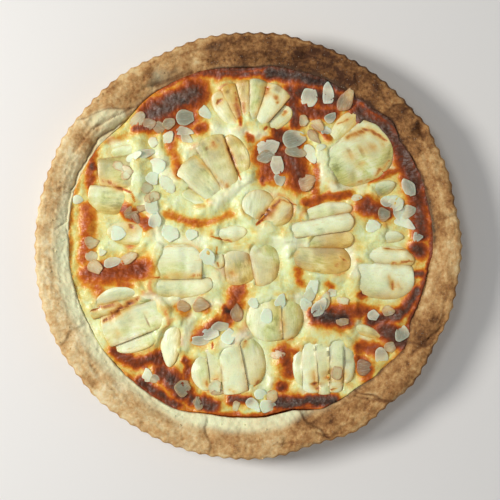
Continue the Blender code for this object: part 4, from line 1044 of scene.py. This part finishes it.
def makeCustard(finish, slices):
    count = custard["grid"]
    x, y = discGrid(count)
    angle = np.degrees(np.arctan2(y, x))
    edge = innerEdge(angle) - custard["gap"]
    inward = np.hypot(x, y)
    x, y = x * edge, y * edge
    rimAway = edge * (1.0 - inward)
    place = flat(x, y)
    nearest, beside, stalk = besideSlices(x, y, slices)
    broad = rough(place, 17.0, 3, 61, x)
    lumps = rough(place, 6.5, 3, 67, x)
    fine = rough(place, 2.4, 2, 71, x)
    wx = x + 2.4 * lumps + 0.9 * fine
    wy = y + 2.4 * rough(place + 31.0, 6.5, 3, 73, x)
    wy = wy + 0.9 * rough(place, 2.4, 2, 79, x)
    halo = []
    for x0, y0, x1, y1, radius, dark in custard["browned"]:
        halo.append((x0, y0, x1, y1, 1.5 * radius + 1.5, min(0.42, 0.55 * dark)))
    bake = np.maximum(strokes(wx, wy, custard["browned"]), strokes(wx, wy, halo))
    atCollar = aroundRim(custard["atCollar"], angle % 360.0 + 3.0 * broad)
    atCollar = atCollar * (1.0 - smooth(rimAway + 2.0 * lumps, 0.5, 5.5))
    bake = np.maximum(bake, atCollar)
    bake = np.maximum(bake, 0.72 * thinLines(x + 0.9 * lumps, y - 0.9 * lumps, pearBrowned))
    ridge = strokes(wx, wy, custard["ridges"])
    bank = np.exp(-((nearest.clip(0.0) / custard["bankWidth"]) ** 2))
    tongue = smooth(rough(place, 9.0, 3, 97, x) + 0.55 * stalk, 0.15, 0.7)
    height = custard["level"] + (custard["atRim"] - custard["level"]) * smooth(inward * edge, 60.0, 115.0)
    folds = 1.0 - 2.4 * np.abs(rough(place + 9.0, 13.0, 2, 89, x))
    height = height + hillsAt(x, y) + ridge
    calm = 1.0 - 0.5 * smooth(bake, 0.3, 0.6)
    wrinkles = 1.0 - 2.6 * np.abs(rough(place + 50.0, 5.0, 2, 101, x))
    creased = (folds.clip(-0.6, 1.0) + 0.35 * wrinkles.clip(-0.5, 1.0)) * calm
    height += 0.9 * broad + 0.9 * lumps + 0.3 * fine + creased
    # The custard banks up to the slices and laps unevenly over their edges.
    rise = (beside - 1.2 + 1.3 * tongue + 1.4 * stalk + 0.4 * lumps + 0.2 * folds - height).clip(-1.8, 4.6)
    height += bank * rise * (1.0 - 0.3 * smooth(bake, 0.4, 0.8))
    crust = smooth(bake, 0.35, 0.7)
    blister = bubbles(place + 0.5 * fine.ravel()[:, None], 2.6, 5).reshape(x.shape)
    small = bubbles(place, 1.35, 6).reshape(x.shape)
    height += crust * (0.85 * blister * (0.5 + 0.5 * lumps.clip(-0.5, 1.0)) + 0.28 * small - 0.1)
    height -= 0.5 * smooth(bake, 0.1, 0.3) * (1.0 - smooth(bake, 0.3, 0.5))
    # The custard dips under each pear slice, inside its outline.
    lap = (1.2 + 2.4 * tongue + 5.0 * stalk + 0.9 * lumps).clip(0.7, 8.5)
    inside = -nearest.clip(None, 0.0)
    height -= 0.7 * smooth(inside, 0.0, lap) + 3.5 * smooth(inside, lap - 0.2, lap + 1.8) * (nearest < 0.0)
    height += 1.0 * np.exp(-np.clip(rimAway, 0.0, None) / 3.5)
    height = height.clip(None, custard["highest"])
    tint = 0.15 + 0.12 * broad + 0.08 * lumps - 0.05 * folds.clip(-0.6, 1.0)
    gold = 0.22 * np.exp(-((nearest / 2.4) ** 2))
    gold = gold * smooth(rough(place, 12.0, 2, 83, x), -0.2, 0.5)
    cream = np.clip(0.75 * np.clip(ridge, 0.0, 1.0) + 0.1 * bank - 0.9 * smooth(bake, 0.25, 0.5), 0.0, 1.0)
    paler = 0.5 * smooth(broad + 0.4 * folds, 0.2, 0.9) * (1.0 - smooth(bake, 0.1, 0.3))
    cream = np.clip(cream + paler, 0.0, 1.0)
    # Painted sheen on the high points of the burnt skin.
    paintedSheen = smooth(bake, 0.62, 0.85) * smooth(height - custard["level"] + 1.5 * fine + lumps, 1.2, 3.6)
    values = {"bake": np.maximum(tint + gold, bake), "cream": cream, "paintedSheen": paintedSheen}
    index = np.arange((count + 1) ** 2).reshape(count + 1, count + 1)
    corners = [index[:-1, :-1], index[1:, :-1], index[1:, 1:], index[:-1, 1:]]
    faces = np.stack(corners, axis=-1).reshape(-1, 4)
    loop = np.concatenate([index[:-1, 0], index[-1, :-1], index[1:, -1][::-1], index[0, 1:][::-1]])
    points = flat(x, y, height)
    values = {key: value.ravel() for key, value in values.items()}
    points, faces, values = closedBelow(points, faces, values, loop)
    return meshPiece("custard_filling", points, faces, finish, values, ("custard",))


# Almond flakes: x, y, length, width, turn, toasting and skin

flakes = (
    (-73, 82.5, 12, 7.5, 45, 0.25, 0.5), (-65, 80, 8, 6.5, 0, 0.5, 0.7), (-57.5, 77, 9, 6, -30, 0.4, 0.6),
    (-52, 80.5, 8, 6, 20, 0.3, 0.5), (-40, 84.5, 13, 8, 10, 0.2, 0.3), (-42, 75.5, 12, 5, -5, 0.15, 0.9),
    (-40.5, 70.5, 8, 5, -20, 0.2, 0.4), (-52.5, 71.5, 8, 6, 60, 0.1, 0.3),
    (-62, 68.5, 7, 5.5, 30, 0.2, 0.5), (-29, 88, 10.5, 6, -40, 0.0, 0.2),
    (-59.5, 52.5, 10.5, 9, 20, 0.0, 0.3), (-79.5, 49, 9, 6.5, 10, 0.45, 0.2),
    (-62.5, 44, 9, 7.5, 0, 0.05, 0.4), (-66, 38.5, 8, 6, 20, 0.3, 0.7), (-62.5, 26.5, 9, 8, 50, 0.1, 0.3),
    (-53, 40.5, 12, 7.5, -55, 0.1, 0.8), (-61, 17.5, 10, 7, 80, 0.0, 0.2),
    (-51, 8.5, 12.5, 9, -60, 0.05, 0.7), (-36.5, 7.5, 8, 6, 0, 0.05, 0.4), (-112, 30.5, 6, 5, 0, 0.1, 0.2),
    (-102.5, 2.5, 8, 6.5, 0, 0.35, 0.3), (-102.5, -6, 8, 7, 70, 0.25, 0.4),
    (-85.5, 8.5, 9, 8.5, 0, 0.0, 0.2), (-96, -4, 5, 4, 0, 0.2, 0.3), (-100, -14.5, 9.5, 8, -30, 0.35, 0.5),
    (-78.5, -8, 11, 6, 30, 0.35, 0.8), (-89, -10.5, 11, 5.5, 10, 0.1, 0.5), (-76.5, 21, 8, 4, 20, 0.5, 0.6),
    (-31, -38.5, 9.5, 8.5, 0, 0.4, 0.7), (-42.5, -40, 8, 7, 0, 0.45, 0.5),
    (-7.5, -43.5, 10.5, 7, 90, 0.55, 0.5), (3, -37, 7, 6, 80, 0.05, 0.3), (-31.5, -62, 12, 6, 12, 0.1, 0.3),
    (-42.5, -92.5, 10, 9, 30, 0.3, 0.9), (-66.5, -84.5, 8, 6, 100, 0.1, 0.2),
    (-61.5, -87, 6, 5, 0, 0.3, 0.3), (-33, -103, 8, 4, 100, 0.35, 0.6), (-8, -104.5, 7, 5, 60, 0.3, 0.4),
    (3.5, -104.5, 10, 6, -50, 0.05, 0.3), (13, -105, 9, 8, 0, 0.1, 0.4), (12, -45, 10, 6.5, 90, 0.0, 0.1),
    (42.5, -26.5, 11, 7, 75, 0.0, 0.4), (37.5, -38, 8, 7.5, 60, 0.05, 0.5),
    (46.5, -40.5, 13, 7, 60, 0.05, 0.9), (55, -31, 7, 5, 0, 0.15, 0.4), (63, -36, 9, 4.5, -10, 0.3, 0.5),
    (62, -49.5, 8, 5, 0, 0.45, 0.5), (100.5, -57.5, 10, 9, 90, 0.15, 0.2), (87, -72, 9, 8, -40, 0.2, 0.3),
    (93.5, -66, 8, 6, 20, 0.3, 0.3), (76.5, -79.5, 9.5, 8.5, 0, 0.75, 0.6),
    (83, -46, 8, 6.5, -30, 0.0, 0.2), (91.5, -42.5, 8, 6, 0, 0.45, 0.6), (58, -82, 10, 6, 80, 0.5, 0.5),
    (16, -98, 8, 6.5, 40, 0.5, 0.6), (19, -71, 9, 5, 0, 0.4, 0.4), (40, 98.3, 12.5, 9, 80, 0.0, 0.3),
    (51.8, 100, 13.5, 7, 85, 0.0, 0.3), (13.5, 64.5, 14, 10, 25, 0.1, 0.8),
    (31, 70.5, 15, 10, 20, 0.15, 0.3), (40.5, 60.5, 12, 6.5, -60, 0.1, 0.3),
    (18.5, 53.5, 14, 7.5, 90, 0.15, 0.2), (36.5, 81.5, 8, 6, -40, 0.3, 0.5),
    (45.5, 79.5, 9, 6, -45, 0.45, 0.6), (43.5, 71.5, 10, 5, -50, 0.65, 0.8), (64, 96, 15, 8, 70, 0.5, 0.9),
    (105.5, 37, 14, 7, -75, 0.1, 0.3), (97, 28.5, 10, 8.5, 60, 0.1, 0.3),
    (105, 23, 9.5, 7.5, 20, 0.15, 0.8), (102.5, 15, 13, 6.5, -25, 0.05, 0.4),
    (89.5, 21, 8, 7.5, 0, 0.25, 0.9), (82.5, 13, 10, 7, -5, 0.05, 0.9), (20.5, 43, 8, 6, -90, 0.15, 0.5),
    (39, 42, 12, 9, 20, 0.55, 0.4), (47.5, 65, 6, 4, 10, 0.2, 0.4), (54.5, 84.5, 8, 5, 40, 0.1, 0.5),
    (51, 76, 7, 5, -20, 0.0, 0.3), (-24, -57, 12, 7, 15, 0.0, 0.2), (-12, -58, 12, 7, 60, 0.0, 0.2),
    (-18, -53, 11, 6, -5, 0.1, 0.2), (-26.5, -8, 12, 8, -65, 0.05, 0.1), (21, -36, 9, 6, 75, 0.0, 0.1),
    (-21, -92.5, 9, 8, 0, 0.25, 0.6), (-20, -96, 8, 3.5, 0, 0.6, 0.6), (-84, 52, 9, 5, -20, 0.35, 0.7),
    (-79, 47, 8, 5, 30, 0.3, 0.8), (-75, 59, 10, 5, 25, 0.1, 0.6), (-67, 61, 11, 5, 10, 0.1, 0.5),
    (-61, 33, 8, 6, 10, 0.4, 0.9), (-65, 31, 7, 5, -40, 0.5, 0.8), (-79, 22, 8, 4, 60, 0.6, 0.8),
    (-74, 19, 9, 4, -70, 0.65, 0.8), (-70, 25, 8, 4, 20, 0.55, 0.7), (31, 62, 13, 6.5, -20, 0.25, 0.4),
    (12, 59, 12, 7, 30, 0.3, 0.4), (41, -31, 12, 6, 62, 0.2, 0.7), (50, -36, 11, 6, 70, 0.25, 0.8),
    (92, 30, 9, 6, 30, 0.05, 0.6), (100, 20, 12, 6, -60, 0.05, 0.7), (8, -97, 7, 6, 0, 0.0, 0.1),
    (71, 32, 6, 4, 0, 0.2, 0.4), (-34, -101, 6, 3, 60, 0.5, 0.4), (111, 6, 6, 5, 0, 0.0, 0.1),
)
flakeForm = {
    "around": 44, "rings": (0.3, 0.62, 0.88, 0.975, 1.0), "thickness": 0.34, "curl": 0.7, "swell": 1.18,
    "breaks": 2,
}


def surfaceTree(pieces):
    points, faces, start = [], [], 0
    for piece in pieces:
        points += [vertex.co for vertex in piece.data.vertices]
        faces += [[index + start for index in face.vertices] for face in piece.data.polygons]
        start += len(piece.data.vertices)
    return BVHTree.FromPolygons(points, faces)


def heightOver(tree, x, y):
    hit = tree.ray_cast(Vector((x * toMetres, y * toMetres, 0.1)), Vector((0.0, 0.0, -1.0)))
    return hit[0].z / toMetres if hit[0] else custard["level"]


def makeFlakes(finish, tree):
    form, random = flakeForm, np.random.default_rng(7)
    turn = np.linspace(0.0, 2.0 * math.pi, form["around"], endpoint=False)
    rings = np.array(form["rings"])
    steps = np.concatenate([rings, rings[::-1][1:]])
    side = np.concatenate([np.ones(len(rings) - 1), [0.0], -np.ones(len(rings) - 1)])
    points, faces, start = [], [], 0
    values = {"skin": [], "toast": [], "rim": [], "under": [], "grain": []}
    for x, y, length, width, degrees, toast, skin in flakes:
        length, width = length * form["swell"], width * form["swell"]
        lean = math.radians(degrees + random.uniform(-6, 6))
        along = np.array([math.cos(lean), math.sin(lean)])
        left = np.array([-along[1], along[0]])
        samples = []
        for u in (-0.36, -0.18, 0.0, 0.18, 0.36):
            for v in (-0.3, 0.0, 0.3):
                spot = np.array([x, y]) + along * u * length + left * v * width
                samples.append((u * length, v * width, heightOver(tree, *spot)))
        samples = np.array(samples)
        sheet = np.column_stack([samples[:, :2], np.ones(len(samples))])
        plane = np.linalg.lstsq(sheet, samples[:, 2], rcond=None)[0]
        plane[:2] = np.clip(plane[:2], -0.35, 0.35) + random.uniform(-0.11, 0.11, 2)
        lift = np.percentile(samples[:, 2] - samples[:, :2] @ plane[:2], 84) + random.uniform(0.05, 0.2)
        tip = random.uniform(0.2, 0.5)
        broken = random.choice([1.0, random.uniform(0.45, 0.8)], p=[0.65, 0.35])
        outline = 1.0 + 0.04 * np.sin(3 * turn + random.uniform(0, 6))
        outline = outline + 0.02 * np.sin(5 * turn + random.uniform(0, 6))
        # Straight broken edges: each takes a little off one side.
        for bearing in random.uniform(0.0, 2.0 * math.pi, form["breaks"]):
            facing = np.cos(turn - bearing)
            limit = random.uniform(0.68, 1.02) / np.where(facing > 0.1, facing, 0.1)
            outline = (outline**-16 + limit**-16) ** (-1 / 16)
        glassy = random.uniform(0.5, 1.25)
        curl, twist = random.uniform(-1.0, 1.0) * form["curl"], random.uniform(-0.5, 0.5) * form["curl"]
        for step, face in zip(steps, side):
            u = (0.5 * length * step * np.cos(turn) * outline).clip(None, 0.5 * length * broken * step)
            v = 0.5 * width * step * np.sin(turn) * (1.0 - tip * np.cos(turn)) * outline
            bend = curl * (u / (0.5 * length)) ** 2 + twist * (u * v) / (0.25 * length * width)
            thick = 0.5 * form["thickness"] * (1.0 - 0.35 * step**12)
            z = lift + plane[0] * u + plane[1] * v + bend + face * thick
            spot = np.array([x, y]) + np.outer(u, along) + np.outer(v, left)
            points.append(np.column_stack([spot, z]))
            values["rim"].append(np.full(len(turn), step**6))
            values["skin"].append(np.full(len(turn), skin))
            values["toast"].append(np.full(len(turn), toast + 0.25 * step**3 * (toast > 0.2)))
            under = 1.15 * glassy * strokes(spot[:, 0], spot[:, 1], custard["browned"])
            values["under"].append(under.clip(0.0, 1.0))
            values["grain"].append(flat(0.25 * u + start, 1.3 * v))
        rows = gridFaces(len(steps), len(turn)) + start
        faces += rows.tolist()
        faces.append((np.arange(len(turn)) + start)[::-1].tolist())
        start += len(steps) * len(turn)
        faces.append((np.arange(len(turn)) + start - len(turn)).tolist())
    values = {key: np.concatenate(value) for key, value in values.items()}
    return meshPiece("almond_flakes", np.concatenate(points), faces, finish, values)


# Crumbs of pastry that lie on the collar

crumbs = {
    "Crumbs Per Area": 8400.0, "Smallest": 0.0003, "Largest": 0.00085, "Lowest": 0.0235, "Highest": 0.0303,
    "Steepest": 0.6, "Unevenness": 0.0007, "Seed": 23,
}


def crumbTree(finish):
    tree = bpy.data.node_groups.new("crumbs", "GeometryNodeTree")
    tree.interface.new_socket("Geometry", in_out="INPUT", socket_type="NodeSocketGeometry")
    tree.interface.new_socket("Geometry", in_out="OUTPUT", socket_type="NodeSocketGeometry")
    keys = {}
    for name, value in crumbs.items():
        kind = "NodeSocketInt" if name == "Seed" else "NodeSocketFloat"
        keys[name] = tree.interface.new_socket(name, in_out="INPUT", socket_type=kind).identifier
    start, end = tree.nodes.new("NodeGroupInput"), tree.nodes.new("NodeGroupOutput")
    given = start.outputs
    n = Nodes(tree)

    def shape(kind, inputs=()):
        return n.add(kind, inputs, prefix="GeometryNode").outputs[0]

    def drawn(low, high, seed):
        inputs = {0: low, 1: high, "Seed": seed}
        return n.add("RandomValue", inputs, prefix="FunctionNode", data_type="FLOAT_VECTOR").outputs[0]

    height = n.add("SeparateXYZ", {0: shape("InputPosition")}).outputs["Z"]
    upright = n.add("SeparateXYZ", {0: shape("InputNormal")}).outputs["Z"]
    onCollar = n.math("MULTIPLY", n.math("GREATER_THAN", height, given["Lowest"]),
                      n.math("LESS_THAN", height, given["Highest"]))
    onCollar = n.math("MULTIPLY", onCollar, n.math("GREATER_THAN", upright, given["Steepest"]))
    spread = shape("DistributePointsOnFaces", {
        "Mesh": given["Geometry"], "Selection": onCollar, "Density": given["Crumbs Per Area"],
        "Seed": given["Seed"]})
    ball = shape("MeshIcoSphere", {"Radius": 1.0, "Subdivisions": 1})
    size = n.add("RandomValue", {2: given["Smallest"], 3: given["Largest"], "Seed": 3},
                 prefix="FunctionNode").outputs[1]
    form, turn = drawn((0.8, 0.7, 0.5), (1.4, 1.1, 0.9), 5), drawn((0.0, 0.0, 0.0), (6.28, 6.28, 6.28), 7)
    scale = n.add("VectorMath", {0: form, "Scale": size}, operation="SCALE").outputs[0]
    placed = shape("InstanceOnPoints", {"Points": spread, "Instance": ball, "Rotation": turn, "Scale": scale})
    real = shape("RealizeInstances", {"Geometry": placed})
    bumps = n.add("TexNoise", {"Scale": 900.0, "Detail": 1.0}).outputs["Color"]
    centred = n.add("VectorMath", {0: bumps, 1: (0.5, 0.5, 0.5)}, operation="SUBTRACT").outputs[0]
    shift = n.add("VectorMath", {0: centred, "Scale": given["Unevenness"]}, operation="SCALE").outputs[0]
    ragged = shape("SetPosition", {"Geometry": real, "Offset": shift})
    n.link(shape("SetMaterial", {"Geometry": ragged, "Material": finish}), end.inputs["Geometry"])
    return tree, keys


def makeCrumbs(finish, shell):
    tree, keys = crumbTree(finish)
    piece = bpy.data.objects.new("crumbs", shell.data.copy())
    bpy.context.scene.collection.objects.link(piece)
    modifier = piece.modifiers.new("crumbs", "NODES")
    modifier.node_group = tree
    for name, value in crumbs.items():
        modifier[keys[name]] = value
    graph = bpy.context.evaluated_depsgraph_get()
    grown = piece.evaluated_get(graph)
    made = bpy.data.meshes.new_from_object(grown, preserve_all_data_layers=True, depsgraph=graph)
    piece.modifiers.remove(modifier)
    piece.data = made
    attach(piece, "root")
    return piece


# Floor, light and camera

def makeStage():
    made, n, shader = newMaterial("floor", (226, 224, 220), Roughness=0.85)
    place = n.add("TexCoord").outputs["Object"]
    colour = n.mix(n.noise(place, 3.0, 2.0), linear((226, 224, 220)), linear((231, 229, 226)))
    n.link(colour, shader.inputs["Base Color"])
    mesh = bpy.data.meshes.new("floor")
    reach = 3.0
    corners = [(-reach, -reach, 0), (reach, -reach, 0), (reach, reach, 0), (-reach, reach, 0)]
    mesh.from_pydata(corners, [], [(0, 1, 2, 3)])
    mesh.materials.append(made)
    floor = bpy.data.objects.new("floor", mesh)
    floor.location.z = -0.0002
    bpy.context.scene.collection.objects.link(floor)


def addLamp(name, place, size, power, colour):
    lamp = bpy.data.lights.new(name, "AREA")
    lamp.shape, lamp.size, lamp.energy, lamp.color = "DISK", size, power, colour
    holder = bpy.data.objects.new(name, lamp)
    holder.location = place
    holder.rotation_euler = (-Vector(place)).to_track_quat("-Z", "Y").to_euler()
    bpy.context.scene.collection.objects.link(holder)


def makeLight():
    addLamp("key", (-0.92, 0.12, 0.84), 0.36, 12.4, (1.0, 0.98, 0.95))
    addLamp("window", (-0.30, 0.22, 1.25), 0.26, 2.8, (0.98, 1.0, 1.0))
    addLamp("fill", (0.9, -0.5, 0.9), 1.2, 1.6, (1.0, 0.96, 0.92))
    world = bpy.data.worlds.new("studio")
    world.use_nodes = True
    background = world.node_tree.nodes["Background"]
    background.inputs["Color"].default_value = (0.92, 0.95, 1.0, 1.0)
    background.inputs["Strength"].default_value = 0.24
    bpy.context.scene.world = world
    bpy.context.scene.view_settings.view_transform = "Standard"


def makeCamera():
    lens, sensor, frameWidth, rimHeight = 85.0, 36.0, 325.6, 30.0
    camera = bpy.data.objects.new("camera", bpy.data.cameras.new("camera"))
    camera.data.lens, camera.data.sensor_width, camera.data.clip_start = lens, sensor, 0.01
    camera.location = (0.0010, -0.0026, (frameWidth * lens / sensor + rimHeight) * toMetres)
    bpy.context.scene.collection.objects.link(camera)
    bpy.context.scene.camera = camera


makeCamera()
makeLight()
makeStage()
pastry, almond = pastryMaterial(), almondMaterial()
shell = makeCase(pastry)
print("case", len(shell.data.polygons))
slices = allSlices()
flesh = pearMaterial()
pearPieces = [makeSlice(piece, flesh, number) for number, piece in enumerate(slices, 1)]
print("pears", sum(len(piece.data.polygons) for piece in pearPieces))
filling = makeCustard(custardMaterial(), slices)
print("custard", len(filling.data.polygons))
tree = surfaceTree([filling, shell] + pearPieces)
makeFlakes(almond, tree)
crumbPiece = makeCrumbs(pastry, shell)
print("flakes, and crumb faces", len(crumbPiece.data.polygons))
bpy.context.view_layer.update()
